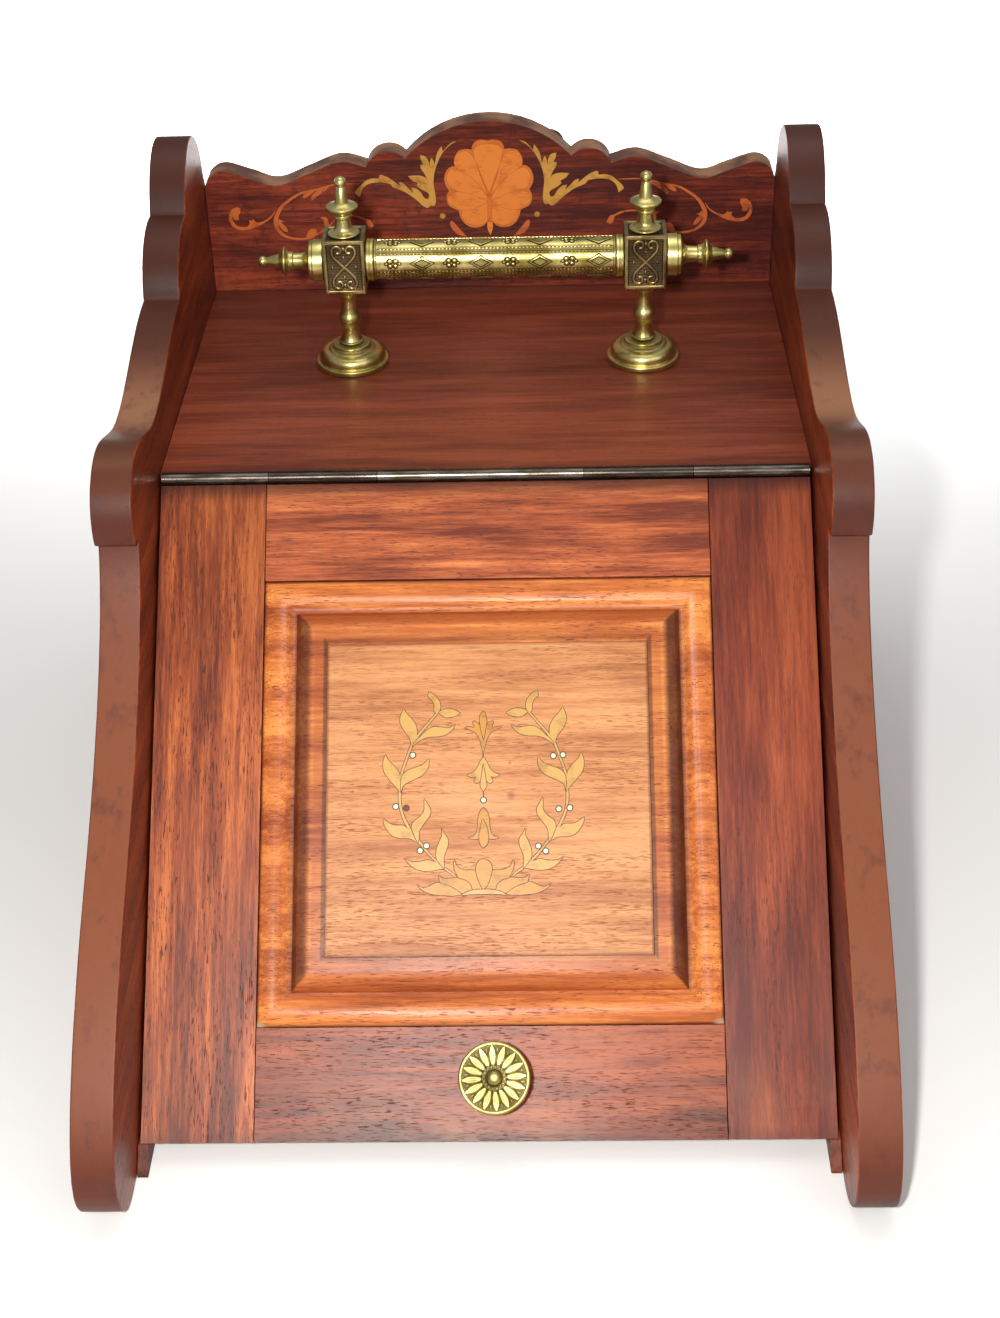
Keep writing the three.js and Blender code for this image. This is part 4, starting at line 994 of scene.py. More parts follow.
def band_relief():
    """One band laid out flat: X along the bar, Y round it, Z outwards"""
    shapes = []
    for x, flower in figure_places():
        shapes += blossom(x) if flower else [lozenge(x)]
    count = int((BAND_LENGTH - 1) / BEAD_STEP)
    for row in (-BEAD_ROW, BEAD_ROW):
        for k in range(count):
            x = (k - (count - 1) / 2) * BEAD_STEP
            shapes.append(added("ico_sphere", "bead", subdivisions=1, radius=MM, scale=(0.66, 0.66, 0.5),
                                location=(x * MM, row * MM, 0)))
    for side in (-1, 1):
        ridge = added("cube", "ridge", size=MM, scale=(BAND_LENGTH, 0.42, 0.5),
                      location=(0, side * (BAND_WIDTH / 2 - 0.21) * MM, 0.05 * MM))
        shapes.append(ridge)
    return joined("band_relief", shapes)


def band_lines():
    """What is cut dark round the figures, the beads and the ridges"""
    shapes = []
    for x, flower in figure_places():
        shapes += blossom(x, 0.45, 0.22) if flower else [flat_lozenge(x, 7, 3.95)]
    for row, wide in ((BAND_WIDTH / 2 - 0.55, 0.3), (BEAD_ROW, 0.62), (BEAD_ROW - 0.95, 0.2)):
        for side in (-1, 1):
            shapes.append(added("cube", "line", size=MM, scale=(BAND_LENGTH, wide, 0.12),
                                location=(0, side * row * MM, 0)))
    return joined("band_lines", shapes)


def wrapped(flat, name):
    """A flat band bent round the bar, once for each band"""
    for corner in flat.data.vertices:
        angle = corner.co.y / (BAR_GROUND * MM)
        reach = BAR_GROUND * MM + corner.co.z
        corner.co = Vector((corner.co.x, -math.cos(angle) * reach, math.sin(angle) * reach))
    first = math.radians(FIRST_BAND)
    turns = [k * math.tau / BAR_BANDS - first for k in range(BAR_BANDS)]
    bands = [copied(flat, Matrix.Rotation(turn, 4, "X")) for turn in turns]
    bpy.data.objects.remove(flat)
    piece = joined(name, bands)
    smooth(piece, 35)
    return moved(piece, Matrix.Translation(BAR_MIDDLE))


def handle_bar():
    half = (BAR_HIGH.x - BAR_LOW.x) / 2 / MM
    tube = turned("handle_bar_tube", profile(
        (8.9, -half), (10.3, -half), (10.4, -half + 0.3), (10.4, -half + 1, 0.1), (BAR_GROUND, -half + 1.3),
        (BAR_GROUND, half - 1.3), (10.4, half - 1), (10.4, half - 0.3, 0.1), (10.3, half), (8.9, half),
        (8.9, -half)), steps=80)
    moved(tube, Matrix.Translation(BAR_MIDDLE) @ Matrix.Rotation(math.pi / 2, 4, "Y"))
    relief = wrapped(band_relief(), "handle_bar_relief")
    piece = joined("handle_bar_engraved", [tube, relief])
    finish = aged_brass("brass_engraved", bright=rgb(214, 196, 130))
    worn(piece, finish, "aged_brass", "carcass", ["handle_bar"])
    lines = wrapped(band_lines(), "handle_bar_lines")
    worn(lines, sunk_brass, "aged_brass", "carcass")


handle_bar()

# ---- blocks: a raised frame on each side round a sunk hatched panel with scrolls in relief
BLOCK_FRAME = 1.9
PANEL_SINK = 0.9
SCROLL_WIRE = 1.1  # half the width of a strand
# one strand of the scrolls, from the eye of an upper volute to the crossing; the panel's half sizes are 1
HEART = [
    (-0.4, 0.64), (-0.22, 0.66), (-0.16, 0.82), (-0.36, 0.94), (-0.62, 0.88), (-0.72, 0.68),
    (-0.62, 0.46), (-0.4, 0.28), (-0.18, 0.12), (0, 0)]
BOSSES = [  # place in the panel, then half the width and half the height
    (0, 0.82, 1.1, 1.5), (0, -0.82, 1.1, 1.5), (0, 0.45, 0.7, 1.2), (0, -0.45, 0.7, 1.2),
    (-0.72, 0, 0.6, 1.3), (0.72, 0, 0.6, 1.3)]


def scroll_strand(name, path):
    """A raised ribbon that follows a path, rounder than it is tall"""
    curve = bpy.data.curves.new(name, "CURVE")
    curve.dimensions = "3D"
    curve.bevel_depth = SCROLL_WIRE * MM
    curve.bevel_resolution = 2
    curve.resolution_u = 3
    curve.use_fill_caps = True
    spline = curve.splines.new("POLY")
    count = 4 * len(path)
    spline.points.add(count - 1)
    for k, point in enumerate(spline.points):
        x, y = along_curve(path, k / (count - 1))
        point.co = (x * MM, y * MM, 0, 1)
    strand = bpy.data.objects.new(name, curve)
    bpy.context.scene.collection.objects.link(strand)
    alone(strand)
    bpy.ops.object.convert(target="MESH")
    return moved(bpy.context.object, Matrix.Diagonal((1, 1, 0.75, 1)))


def scroll_relief(half, tall):
    """Two strands crossing in the middle, so that their volutes make a heart above and one below"""
    made = []
    for flip in (1, -1):
        path = [(flip * x * half, y * tall) for x, y in HEART]
        path += [(-x, -y) for x, y in reversed(path[:-1])]
        made.append(scroll_strand("scroll", path))
    for x, y, wide, high in BOSSES:
        made.append(added("uv_sphere", "boss", segments=10, ring_count=6, radius=MM,
                          scale=(wide, high, 0.6), location=(x * half * MM, y * tall * MM, 0)))
    return joined("scroll_relief", made)


def chased_block(size):
    """A block with a sunk panel and its scrolls on each of its four sides"""
    half = size.x / 2
    block = added("cube", "block", size=1, scale=size)
    for face in block.data.polygons:
        face.select = abs(face.normal.z) < 0.5
    alone(block)
    bpy.ops.object.mode_set(mode="EDIT")
    bpy.ops.mesh.select_mode(type="FACE")
    bpy.ops.mesh.inset(thickness=BLOCK_FRAME * MM, depth=0, use_individual=True)
    bpy.ops.mesh.inset(thickness=0.4 * MM, depth=-PANEL_SINK * MM, use_individual=True)
    bpy.ops.mesh.select_mode(type="VERT")
    done()
    applied(block, "BEVEL", width=0.35 * MM, segments=2, limit_method="ANGLE", angle_limit=math.radians(35))
    smooth(block, 30)
    relief = scroll_relief(half / MM - BLOCK_FRAME - 0.5, size.z / 2 / MM - BLOCK_FRAME - 0.5)
    lift = Matrix.Translation((0, 0, half - (PANEL_SINK - 0.1) * MM))
    stand = Matrix.Rotation(math.pi / 2, 4, "X")
    faces = [copied(relief, Matrix.Rotation(k * math.pi / 2, 4, "Z") @ stand @ lift) for k in range(4)]
    bpy.data.objects.remove(relief)
    for one in faces:
        smooth(one, 60)
    return joined("block", [block, *faces])


def pillar_blocks():
    for hand, (low, high) in BLOCKS.items():
        size = high - low
        centre = (low + high) / 2
        half = size.x / 2

        def sunk(paint):
            x, y, z = paint.axes(paint.placed(origin=centre))
            depth = half - x.size().most(y.size())
            side = 1 - z.size().between(size.z / 2 - 0.9 * MM, size.z / 2 - 0.4 * MM)
            hatch = paint.node("ShaderNodeTexWave", {"bands_direction": "Z"}, {
                "Vector": paint.placed(origin=centre), "Scale": 210.0, "Distortion": 0.4}.items(), output=1)
            return depth.between(0.35 * MM, 0.8 * MM) * side * (hatch * 0.45 + 0.6).least(1.0)

        piece = chased_block(size)
        moved(piece, Matrix.Translation(centre))
        piece.name = f"{hand}_pillar_block_chased"
        finish = aged_brass(f"brass_chased_{hand}", recess=sunk, bright=rgb(176, 152, 100),
                            dull=rgb(118, 100, 62), dark=rgb(56, 46, 46))
        worn(piece, finish, "aged_brass", "carcass", [f"{hand}_pillar_block"])


pillar_blocks()

# ------------------------------------------------------------------ knob: a rosette of petals
PETALS = 16
PETAL_TURN = 0.18  # of a petal's step
KNOB_FACE = 16.6  # ground of the petals, above the frame of the fall


def petal():
    """One petal pointing along +X: round at the heart, pointed at the rim, with a sunk middle"""
    piece = added("grid", "petal", x_subdivisions=12, y_subdivisions=8, size=2)
    for corner in piece.data.vertices:
        t = (corner.co.x + 1) / 2
        side = corner.co.y
        x = 5.9 + 8.7 * t
        width = 2.3 * (math.sin(math.pi * (0.18 + 0.8 * t)) ** 0.62) * (0.62 + 0.5 * t) + 0.12
        swell = 1.15 * (1 - side ** 4) - 0.55 * math.exp(-(side / 0.42) ** 2) * math.sin(math.pi * t)
        corner.co = Vector((x, side * width, swell * (0.75 + 0.35 * math.sin(math.pi * t)) - 0.35)) * MM
    applied(piece, "SOLIDIFY", thickness=0.5 * MM, offset=-1)
    smooth(piece, 60)
    return piece


def knob_rosette():
    body = turned("knob_body", profile(
        (0, 9), (2.5, 9), (2.5, 0.3), (7.6, 0.3), (8, 0.8, 0.1), (8, 2), (5.2, 5.4, -0.9), (5, 10, -0.1),
        (8.4, 13.6, -0.8), (15.8, 14.2), (16.5, 14.9, 0.2), (16.5, 15.8), (15.7, 16.9, 0.35), (15.1, 16.95),
        (14.8, 16.5), (6.2, KNOB_FACE - 0.3), (5.9, 17.2, 0.1), (5.6, 17.4), (4, 17.4), (3.7, 17.1),
        (3.5, 17.5), (0, 20, 1.2)), steps=72)
    shapes = [body]
    leaf = petal()
    for k in range(PETALS):
        turn = Matrix.Rotation((k + PETAL_TURN) * math.tau / PETALS, 4, "Z")
        shapes.append(copied(leaf, turn @ Matrix.Translation((0, 0, KNOB_FACE * MM))))
        between = Matrix.Rotation((k + PETAL_TURN + 0.5) * math.tau / PETALS, 4, "Z")
        dart = added("uv_sphere", "dart", segments=8, ring_count=6, radius=MM, scale=(1.35, 0.42, 0.5),
                     location=(13.1 * MM, 0, (KNOB_FACE + 0.1) * MM))
        smooth(dart, 60)
        shapes.append(moved(dart, between))
        bead = added("uv_sphere", "bead", segments=12, ring_count=8, radius=0.88 * MM,
                     location=(4.75 * MM, 0, (KNOB_FACE + 1.2) * MM))
        smooth(bead, 60)
        shapes.append(moved(bead, between))
    bpy.data.objects.remove(leaf)
    piece = joined("knob_rosette_cast", shapes)
    centre = FALL @ Vector((KNOB_MIDDLE.x, -KNOB_DOWN * MM, 0))
    moved(piece, Matrix.Translation(centre) @ Matrix.Rotation(SLOPE, 4, "X"))

    def hollows(paint):
        x, y, z = paint.axes(paint.placed(origin=centre, turn=SLOPE))
        radius = (x ** 2.0 + y ** 2.0) ** 0.5
        low = 1 - z.between((KNOB_FACE - 0.25) * MM, (KNOB_FACE + 0.2) * MM)
        inside = 1 - radius.between(14.8 * MM, 15.2 * MM)
        ring = radius.within(3.2 * MM, 3.7 * MM, 5.9 * MM, 6.4 * MM)
        sunk = ring * (1 - z.between((KNOB_FACE + 0.6) * MM, (KNOB_FACE + 1.1) * MM))
        return (low * inside + sunk * 0.8).least(1.0)

    finish = aged_brass("brass_rosette", recess=hollows, bright=rgb(190, 176, 116), dull=rgb(152, 138, 82),
                        dark=rgb(92, 82, 48), rough=0.38)
    worn(piece, finish, "aged_brass", "fall", ["knob_rosette"])


knob_rosette()

# ------------------------------------------------------------------ marquetry of the tablet
WREATH_AXIS = -2.1  # the wreath stands a little left of the tablet's middle
TABLET_GROUND = FALL @ Matrix.Translation((
    PANEL_MIDDLE + WREATH_AXIS * MM, -TABLET_DOWN * MM, TABLET_FACE * MM))

# left half of the wreath, from the axis and the tablet's middle; a third value marks a point
STEM_LINE = [
    (-13.6, -37.5), (-15.7, -35.8), (-18.8, -33.6), (-22.3, -30.5), (-25.9, -26.9), (-29.5, -22.3),
    (-31.9, -19.5), (-34.3, -16.2), (-36.5, -12.5), (-38.3, -8.5), (-39.4, -4.1), (-39.8, 0.3),
    (-39.3, 4.8), (-39, 10.7), (-37.5, 15.8), (-35.8, 20.7), (-34, 25.1), (-30.4, 30.7), (-26.3, 35.5),
    (-21.9, 40.7)]
STEM_WIDTHS = [0.7, 0.8, 1, 1, 1, 1.1, 1.3, 1.2, 1.2, 1.1, 1.1, 1.2, 1.3, 1.1, 1, 1, 1.2, 1, 0.9, 0.8]
OUTER_LAUREL = [
    [(-26, 51.2, 0), (-23.4, 49.7), (-21.2, 47), (-20.4, 44), (-20.8, 41.8), (-21.9, 40.3, 0),
     (-23.4, 41.4), (-23.4, 44.1), (-24.3, 46.7), (-26.3, 48.6)],
    [(-38.1, 42.9, 0), (-36.3, 40.3), (-33.7, 37.4), (-31.8, 33.7), (-31.7, 29.9), (-32.4, 26.9),
     (-34.2, 24.6, 0), (-35.1, 28.5), (-37.7, 32.2), (-39.6, 36), (-39.6, 39)],
    [(-46.5, 20.8, 0), (-45.4, 18.2), (-42.4, 15.2), (-40.2, 12.2), (-39.6, 8.5), (-39.4, 2.2, 0),
     (-41.3, 4.8), (-44.6, 8.5), (-47.2, 12.3), (-47.8, 16), (-47.4, 18.6)],
    [(-47.5, -10.1, 0), (-44.8, -12.1), (-41.9, -13.2), (-38.3, -13.3), (-35.7, -15.1), (-33.9, -17.3),
     (-31.8, -21.1, 0), (-35.3, -19.5), (-39.7, -19.3), (-43.4, -18), (-45.9, -15), (-47.2, -12.4)],
    [(-37.5, -28.9, 0), (-34.6, -30.4), (-30.2, -30.5), (-26.6, -29.8), (-23.7, -30.5), (-21.5, -31.6),
     (-18.9, -33.9, 0), (-22.3, -34.5), (-26.6, -35), (-30.9, -34.4), (-34.6, -32.2)]]
INNER_LAUREL = [
    [(-21.4, 40.7, 0), (-20.1, 41.8), (-17.8, 42.5), (-14.5, 42.3), (-11, 40.5, 0), (-12.7, 39.3),
     (-15.6, 38.5), (-18.6, 38.7)],
    [(-13.3, 34.9, 0), (-16.4, 33.3), (-20.1, 33.7), (-23.7, 33.9), (-26.7, 32.5), (-29.6, 29.7),
     (-32.2, 27.3), (-33.9, 24.6, 0), (-29.6, 27.7), (-25.9, 29), (-21.5, 29.2), (-17.9, 30.1),
     (-14.9, 32.3)],
    [(-25.9, 18.5, 0), (-28.9, 15.8), (-32.5, 14.3), (-36.2, 12.9), (-38.7, 10.3), (-39.2, 7),
     (-39.4, 2.2, 0), (-38.2, 5.5), (-35.8, 7.3), (-32.5, 8.8), (-28.8, 10.9), (-26.3, 14.2)],
    [(-28.1, -0.7, 0), (-26.3, -3.5), (-25.1, -6.4), (-25.9, -9.4), (-28.1, -12.3), (-30.3, -15.9),
     (-30.6, -19.5), (-31.1, -21.9, 0), (-32.8, -18.1), (-34.1, -14.4), (-33, -11.5), (-30.3, -9.3),
     (-28.2, -6.4), (-28.1, -3.5)],
    [(-19.9, -14.9, 0), (-18.6, -17.5), (-16.8, -20.4), (-17.2, -24.1), (-18.6, -27.7), (-18.8, -31.3),
     (-18.5, -34.1, 0), (-20.4, -32), (-22.3, -29.1), (-22.4, -25.5), (-21.2, -21.8), (-19.7, -18.2)]]
BERRIES = [
    (-33.6, 20.3), (-41.6, -4.3), (-27, -23.1), (-30, -25.4), (33.3, 19.3), (37.9, 19.7), (35.6, -6.2),
    (40.8, -5.7), (25.7, -23.7), (29.2, -26.1), (0, -1.6)]
LOST_BERRY = (-36.6, -5)
BERRY_RADIUS = 1.15
BERRY_RING = 0.5  # width of the dark ring round a berry

# bell flowers down the middle, half of each from axis to axis: the wings, then the heart that lies over them
UPPER_BELL = [
    (0.4, 41.3), (-1.1, 39.9), (-1.7, 36.9), (-1.5, 34, 0), (-2.5, 35.6), (-4.2, 36.6, 0), (-4.9, 35.9),
    (-4.2, 34.1), (-4.6, 33.2, 0), (-6.7, 33.7), (-8.8, 33.4, 0), (-6.1, 32.2), (-3.5, 30.7),
    (-1.8, 27.7), (-0.8, 24.3), (0, 20.6, 0)]
UPPER_HEART = [(0.4, 41.3), (-1.1, 39.9), (-1.7, 36.9), (-1.1, 32.5), (0.2, 27.2, 0)]
MIDDLE_BELL = [
    (0.1, 18.9), (-1.5, 16.9), (-2.9, 14), (-4.7, 11.8), (-7.8, 10.5, 0), (-5.8, 9.4), (-3.4, 9.7, 0),
    (-4.4, 7.5), (-3.4, 6.4, 0), (-2.2, 6.9), (-1.2, 8, 0), (-1.4, 5.1), (-0.1, 2.6, 0)]
MIDDLE_HEART = [(-0.1, 2.6, 0), (-1.5, 5.1), (-1.2, 8), (-0.6, 11.7), (-0.1, 15.8, 0)]
LOWER_BELL = [
    (0, -5.2, 0), (-1.5, -6.7), (-2.5, -9.6), (-2.8, -13.3), (-3.4, -16.9), (-4.8, -18.7),
    (-7.2, -19.6, 0), (-4.8, -20.2), (-2.3, -20, 0), (-1.6, -22.8), (-0.3, -24.4, 0)]
LOWER_HEART = [(-0.3, -24.4, 0), (-1.7, -22.4), (-2.2, -19.1), (-1.5, -14.7), (-0.4, -10.4, 0)]
BELL_STALKS = [
    ([(0, 20.8), (-0.1, 19.8), (-0.1, 18.4)], [0.6, 0.6, 0.6]),
    ([(-0.1, 2.8), (0, 1), (0, -0.8)], [0.5, 0.5, 0.5])]

# palmette at the foot, outer leaves first; each later one lies over the one before
PALMETTE = [
    [(-31.5, -41.3, 0), (-28.8, -42.8), (-25.9, -42.3), (-22.6, -40.7), (-19.4, -40.7), (-15, -42.2),
     (-11.8, -44), (-9.6, -45.9, 0), (-13.6, -46.7), (-18.6, -46.5), (-24.4, -45.9), (-28.8, -44.1)],
    [(-21.2, -36.9, 0), (-19.4, -38.4), (-15.4, -38.6), (-11.8, -38.3), (-8.5, -39.4), (-6, -41.6),
     (-4.6, -44.1, 0), (-7.8, -44.8), (-10, -45.7), (-12.9, -43.7), (-16.5, -41.8), (-20.1, -40.7),
     (-20.9, -39.1)],
    [(-13.9, -29.8, 0), (-12.5, -33), (-9.2, -34.7), (-6, -34.7), (-3.8, -35.4), (-2.7, -38.7),
     (-1.3, -42.3), (-0.6, -44, 0), (-4.9, -44.1), (-6.3, -41.2), (-8.9, -39.2), (-11.8, -38.3),
     (-13.2, -35.7), (-14.1, -32.8)]]
PALMETTE_HEART = [
    (-0.4, -29.6), (-2.4, -30.7), (-3.7, -32.9), (-3.7, -35.8), (-2.6, -39.4), (-1.4, -42.3),
    (-0.4, -44, 0)]
PALMETTE_FOOT = [(0, -43.9), (-3.5, -44), (-7.8, -44.9), (-10.7, -46.6, 0), (-6, -46.2), (0, -46.1)]


def wreath():
    place = (TABLET_GROUND, satinwood, "satinwood_inlay", "fall")
    amber = (TABLET_GROUND, amber_wood, "satinwood_inlay", "fall")
    marquetry("wreath_stems", stalks((STEM_LINE, STEM_WIDTHS)), *place, level=0.06)
    marquetry("outer_laurel", leaves(*OUTER_LAUREL), *place, level=0.09)
    marquetry("inner_laurel", leaves(*INNER_LAUREL), *place, level=0.13)
    rings = [disc(x, y, BERRY_RADIUS + BERRY_RING) for x, y in BERRIES]
    worn(laid("berry_rings", rings, 0.16, TABLET_GROUND), dark_line, "dark_inlay", "fall")
    marquetry("berries", discs(*[(x, y, BERRY_RADIUS) for x, y in BERRIES]), TABLET_GROUND, bone,
              "satinwood_inlay", "fall", level=0.2, line=0.1)
    lost = [disc(*LOST_BERRY, BERRY_RADIUS + BERRY_RING)]
    worn(laid("lost_berry_rim", lost, 0.06, TABLET_GROUND), dark_line, "dark_inlay", "fall")
    lost = [disc(*LOST_BERRY, BERRY_RADIUS - 0.1)]
    worn(laid("lost_berry_ground", lost, 0.09, TABLET_GROUND), right_stile_wood, "tablet_veneer", "fall")
    marquetry("amber_bells", middle_pieces(UPPER_BELL, LOWER_BELL), *amber, level=0.06)
    marquetry("amber_bell_hearts", middle_pieces(UPPER_HEART, LOWER_HEART), *amber, level=0.11)
    marquetry("middle_bell", middle_pieces(MIDDLE_BELL), *place, level=0.06)
    marquetry("middle_bell_heart", middle_pieces(MIDDLE_HEART), *place, level=0.11)
    threads = [strip(points, widths) for points, widths in BELL_STALKS]
    worn(laid("bell_stalks", threads, 0.04, TABLET_GROUND), dark_line, "dark_inlay", "fall")
    for k, leaf in enumerate(PALMETTE):
        marquetry(f"palmette_{k + 1}", leaves(leaf), *amber, level=0.06 + 0.05 * k)
    marquetry("palmette_heart", middle_pieces(PALMETTE_HEART), *amber, level=0.22)
    marquetry("palmette_foot", middle_pieces(PALMETTE_FOOT), *place, level=0.27)


wreath()

# ------------------------------------------------------------------ marquetry of the gallery
GALLERY_GROUND = Matrix.Translation((0, GALLERY_LOW.y, GALLERY_LOW.z)) @ Matrix.Rotation(math.pi / 2, 4, "X")
# outlines from the axis and the gallery's lower edge; the shell's are its left half
SHELL = [
    (0.2, 87.9, 0), (-3, 88.6), (-6.4, 87.9), (-8.6, 85.6), (-9.1, 82.9, 0), (-12.4, 83.3),
    (-16.1, 82.5), (-18.3, 79.8), (-19.2, 76.3), (-18.9, 73.4, 0), (-21.2, 73.1), (-23.7, 71),
    (-25.2, 66.8), (-24.7, 62.7), (-22.8, 59, 0), (-24.1, 56.5), (-24.3, 53.2), (-22.6, 49.6),
    (-17.7, 47, 0), (-17, 43.7), (-15.2, 40.1), (-12, 37.4), (-8, 36.6), (-4, 37.6), (-1.5, 40.1, 0)]
SHELL_STEM = [(-1.5, 40.1, 0), (-1.6, 36.7), (-0.8, 33.8), (0, 32, 0)]
SHELL_PETALS = [  # each later one lies over the one before
    [(-1.4, 40.4, 0), (-4.6, 38.5), (-8.6, 38), (-12.9, 39.3), (-15.4, 42.2), (-15.9, 45.8), (-14, 49.7),
     (-9.3, 52.6), (-4.7, 54.3), (-1, 54.9, 0)],
    [(-1, 52.5, 0), (-5.8, 54.4), (-11.4, 57.1), (-17.1, 58.4), (-21.1, 57.6), (-23.5, 54.7),
     (-22.8, 51.4), (-19.7, 49.2), (-16.9, 47.7), (-11.8, 47.3), (-5.4, 49.6)],
    [(-1, 54.3, 0), (-3.4, 58.5), (-7.8, 64.5), (-12.7, 68.7), (-17.2, 71.5), (-20.8, 71.8),
     (-23.2, 68.9), (-23.7, 64.8), (-21.5, 60.6), (-17.1, 58.6), (-11.4, 57.1), (-5.3, 54.6)],
    [(-0.9, 56.1, 0), (-2.8, 62), (-4.9, 68), (-6.6, 74.5), (-8.7, 79.2), (-11.7, 81.9), (-15.7, 81.7),
     (-18.4, 79.4), (-19.2, 75.3), (-17.7, 72.4), (-13.3, 69.3), (-8.3, 65.4), (-3.4, 59.1)]]
SHELL_CROWN = [
    (0, 57.2, 0), (-2.7, 64.4), (-5.8, 72.7), (-7.8, 78.6), (-8.1, 82.7), (-5.5, 85.2), (0.2, 86.1)]
GOLD_ACANTHUS = [
    (-17.3, 88.1, 0), (-20.9, 86.9), (-23.4, 84.4), (-25.4, 82, 0), (-25.9, 85.3, 0), (-27.9, 82.6),
    (-29.2, 79.6), (-30.2, 74.6, 0), (-30.9, 76.7), (-31.8, 78.5), (-32.8, 76.6), (-33.2, 73.1, 0),
    (-33.7, 76.6), (-35.4, 79.5), (-38.3, 80.3, 0), (-37.9, 77.7), (-36.8, 74.8), (-38.3, 74.7),
    (-38.1, 72.4), (-36.1, 69), (-34.4, 64.6, 0), (-36.1, 67.2), (-39.8, 68.4), (-45.7, 68.2, 0),
    (-43.2, 65.3), (-40.6, 63.9), (-40.9, 62.1), (-38, 59.9), (-35.2, 58.3), (-34.2, 56.6),
    (-34.9, 54.5), (-36.9, 55), (-38.9, 58.3), (-41.4, 60.7), (-44.3, 61.4, 0), (-43.1, 58.2, 0),
    (-46, 61.1), (-48.8, 64), (-51, 64.4), (-49.9, 61.9, 0), (-54.8, 66), (-58.1, 68.1), (-61.4, 69.1),
    (-62.1, 67, 0), (-66.1, 67.1), (-69.6, 66), (-72.6, 63.4), (-75, 61.1), (-76.3, 58.7),
    (-73.6, 56.3, 0), (-72.2, 60.4), (-70.6, 62.5), (-67.4, 64.2), (-61.7, 64.7), (-56.1, 63.7),
    (-54.5, 61.8), (-48.8, 59.3), (-44.2, 56.1), (-40.8, 53.2), (-37.9, 50.2), (-35.4, 49.1),
    (-33.4, 50.3), (-31.7, 50), (-30.6, 52.2), (-30.5, 55.4), (-30.9, 59.6), (-31.4, 63.7), (-31, 67.9),
    (-30, 72), (-28.7, 75.5), (-26.6, 79.7), (-24, 83.2), (-20.9, 85.9)]
ORANGE_SCROLL = ([
    (-73.1, 64.1), (-79.9, 64.2), (-87.3, 64), (-92, 62.9), (-96.6, 61.5), (-101.8, 60.4), (-107.6, 59),
    (-113.6, 55.5), (-118.6, 51.4), (-121.5, 47), (-122.8, 43.3), (-122.5, 38.5), (-120, 34.8),
    (-116.2, 32.6), (-109.9, 31.5), (-104, 32.3), (-99.2, 34.7), (-95, 37.3), (-91.3, 40.3),
    (-89.1, 42.7)],
    [0.3, 0.7, 0.8, 1, 1.1, 1.2, 1.3, 1.5, 1.8, 2.2, 2.5, 2.3, 1.8, 1.4, 1.2, 1.3, 1.3, 1.1, 0.9, 0.6])
ORANGE_CURL = ([
    (-122.8, 48.8), (-125.4, 45.2), (-129.7, 42.3), (-135.7, 39.6), (-141.6, 38.4), (-146.1, 39.5),
    (-148.3, 42.6), (-148.7, 46), (-147.4, 49.3), (-144.7, 50.9), (-142.5, 50.5)],
    [0.4, 0.8, 1.1, 1.5, 1.9, 2.1, 2, 1.8, 1.4, 1, 0.4])
ORANGE_LINK = ([(-89.4, 43), (-86, 44.6), (-82, 45.3), (-77.6, 45)], [0.5, 0.7, 0.8, 0.9])
ORANGE_LEAVES = [
    [(-94.3, 62.3, 0), (-95.1, 59.1), (-98.7, 56.7), (-101.4, 54.4, 0), (-101.5, 56.8), (-99, 59.7)],
    [(-99, 60.6, 0), (-102, 58), (-105, 56.3), (-106.4, 56.6, 0), (-105.4, 58.4), (-102.4, 60.1)],
    [(-90.2, 63.1, 0), (-92.7, 60.8), (-95.1, 59.1, 0), (-94.4, 61.1)],
    [(-120.9, 44.5, 0), (-120.1, 43.3), (-117.9, 42.5, 0), (-119.7, 41.8), (-118.4, 40.2), (-116.8, 37.8),
     (-116.6, 35.8, 0), (-118.7, 36.6), (-120.8, 39.1), (-121.7, 41.5)],
    [(-106.3, 32.7, 0), (-104.9, 35.7), (-103, 37.5), (-100.7, 37.5), (-99.8, 35.9), (-101, 34.1),
     (-103.4, 32.6)],
    [(-97.3, 44.4, 0), (-94.4, 44.7), (-92.9, 42.8), (-92.5, 39.7, 0), (-94.3, 38.6), (-95.3, 40.4),
     (-95.2, 42.5)],
    [(-129.7, 42.9, 0), (-133.8, 42), (-135.9, 44.2), (-136.3, 43.3), (-138.2, 43.6, 0), (-138.2, 41.2),
     (-139.8, 39.7, 0), (-135.8, 39.3), (-132.2, 40.8)],
    [(-142.7, 50.7, 0), (-142.7, 48.6), (-144, 46.2), (-144, 43.8, 0), (-146.3, 43.8), (-147.5, 46.2),
     (-146.6, 49.9)],
    [(-78.3, 45.2, 0), (-74.3, 44.8), (-71, 43), (-68.7, 42.3), (-66.7, 38.6, 0), (-69, 37.5),
     (-70.7, 39.3), (-71.4, 41.8), (-74.4, 43.3)],
    [(-13.6, 31.1, 0), (-18.3, 37), (-21.3, 40.6), (-22.9, 40.1), (-22.1, 36.6), (-18.8, 32.7)]]
GALLERY_DOTS = [(-27, 44, 1.6), (27, 44, 1.6)]  # the third value is the radius
HAIRLINE = ([(-32.5, 49.7), (-30.4, 47.4), (-28.2, 44.7)], [0.35, 0.35, 0.35])


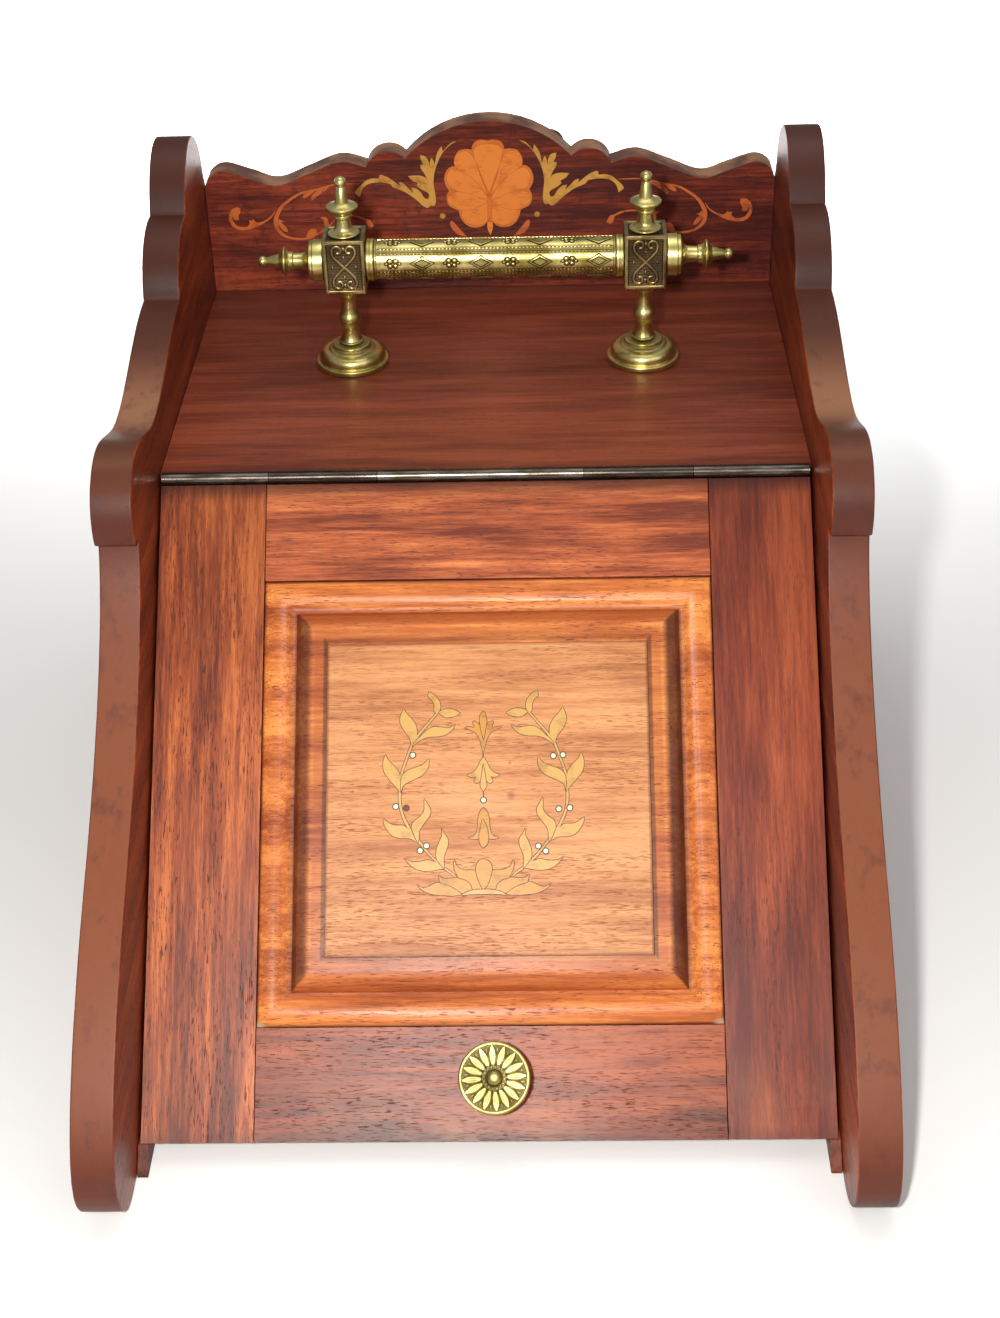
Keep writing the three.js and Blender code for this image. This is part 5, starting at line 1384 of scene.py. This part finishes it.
def gallery_inlay():
    rest = ("satinwood_inlay", "carcass")
    marquetry("shell", middle_pieces(SHELL), GALLERY_GROUND, shell_rim_wood, *rest, level=0.06)
    for k, petal_points in enumerate(SHELL_PETALS):
        marquetry(f"shell_petal_{k + 1}", leaves(petal_points), GALLERY_GROUND, shell_wood, *rest,
                  level=0.12 + 0.05 * k, line=0.18, edge=scorched_line)
    marquetry("shell_crown", middle_pieces(SHELL_CROWN), GALLERY_GROUND, shell_wood, *rest, level=0.33, line=0.18,
              edge=scorched_line)
    marquetry("shell_stem", middle_pieces(SHELL_STEM), GALLERY_GROUND, shell_wood, *rest, level=0.38, line=0.2)
    marquetry("acanthus", leaves(GOLD_ACANTHUS), GALLERY_GROUND, old_satinwood, *rest, level=0.07)
    marquetry("scrolls", stalks(ORANGE_SCROLL, ORANGE_CURL, ORANGE_LINK), GALLERY_GROUND, scroll_wood, *rest,
              level=0.07, line=0.15)
    marquetry("scroll_leaves", leaves(*ORANGE_LEAVES), GALLERY_GROUND, scroll_wood, *rest, level=0.1, line=0.15)
    marquetry("gallery_dots", discs(*GALLERY_DOTS), GALLERY_GROUND, amber_wood, *rest, level=0.08)
    threads = [strip(*HAIRLINE, mirrored=flip) for flip in (False, True)]
    worn(laid("gallery_threads", threads, 0.03, GALLERY_GROUND), dark_line, "dark_inlay", "carcass")


gallery_inlay()

# ------------------------------------------------------------------ camera, light and floor
IMAGE = (1000, 1318)
FOCAL_PIXELS = 2010.26
CAMERA_PLACE = Vector((0.03135, -0.86431, 0.71974))
CAMERA_YAW = math.radians(-1.74)
CAMERA_PITCH = math.radians(34.70)
CAMERA_ROLL = math.radians(-1.71)


def camera():
    ahead = Vector((
        math.sin(CAMERA_YAW) * math.cos(CAMERA_PITCH), math.cos(CAMERA_YAW) * math.cos(CAMERA_PITCH),
        -math.sin(CAMERA_PITCH)))
    level = Vector((math.cos(CAMERA_YAW), -math.sin(CAMERA_YAW), 0))
    above = level.cross(ahead)
    right = level * math.cos(CAMERA_ROLL) + above * math.sin(CAMERA_ROLL)
    up = above * math.cos(CAMERA_ROLL) - level * math.sin(CAMERA_ROLL)
    lens = bpy.data.cameras.new("camera")
    lens.sensor_width = 36
    lens.lens = 36 * FOCAL_PIXELS / max(IMAGE)
    made = bpy.data.objects.new("camera", lens)
    bpy.context.scene.collection.objects.link(made)
    made.matrix_world = Matrix.Translation(CAMERA_PLACE) @ Matrix((right, up, -ahead)).transposed().to_4x4()
    bpy.context.scene.camera = made


def area_light(name, place, target, size, watts, colour=(1, 1, 1), spread=180):
    lamp = bpy.data.lights.new(name, "AREA")
    lamp.shape = "DISK"
    lamp.spread = math.radians(spread)
    lamp.size = size
    lamp.energy = watts
    lamp.color = colour
    made = bpy.data.objects.new(name, lamp)
    bpy.context.scene.collection.objects.link(made)
    made.location = place
    made.rotation_euler = (Vector(target) - Vector(place)).to_track_quat("-Z", "Y").to_euler()


def lights():
    area_light("key", (-0.07, -0.88, 0.76), (0.0, 0.0, 0.12), 0.05, 10, (1.0, 0.98, 0.94))
    area_light("fill", (1.2, -1.1, 1.3), (0, 0, 0.1), 1.4, 5)
    area_light("top", (0.1, 0.3, 1.9), (0, 0, 0.1), 1.6, 8)
    area_light("floor_light", (0, 0.9, 2.6), (0, 2.1, 0), 1.2, 70, spread=70)


def surroundings():
    world = bpy.data.worlds.new("studio")
    world.use_nodes = True
    world.node_tree.nodes["Background"].inputs["Color"].default_value = (1, 1, 1, 1)
    world.node_tree.nodes["Background"].inputs["Strength"].default_value = 0.28
    bpy.context.scene.world = world
    bpy.context.scene.view_settings.view_transform = "Standard"


def pale_floor():
    floor = added("circle", "floor", vertices=64, radius=8, fill_type="NGON")
    paint = Paint("pale_floor")
    tint = paint.noise(paint.placed(scale=(3, 3, 3)), detail=2)
    material = paint.finish(paint.mix(tint, rgb(243, 243, 242), rgb(248, 248, 247)), 0.8)
    floor.data.materials.append(material)


camera()
lights()
surroundings()
pale_floor()
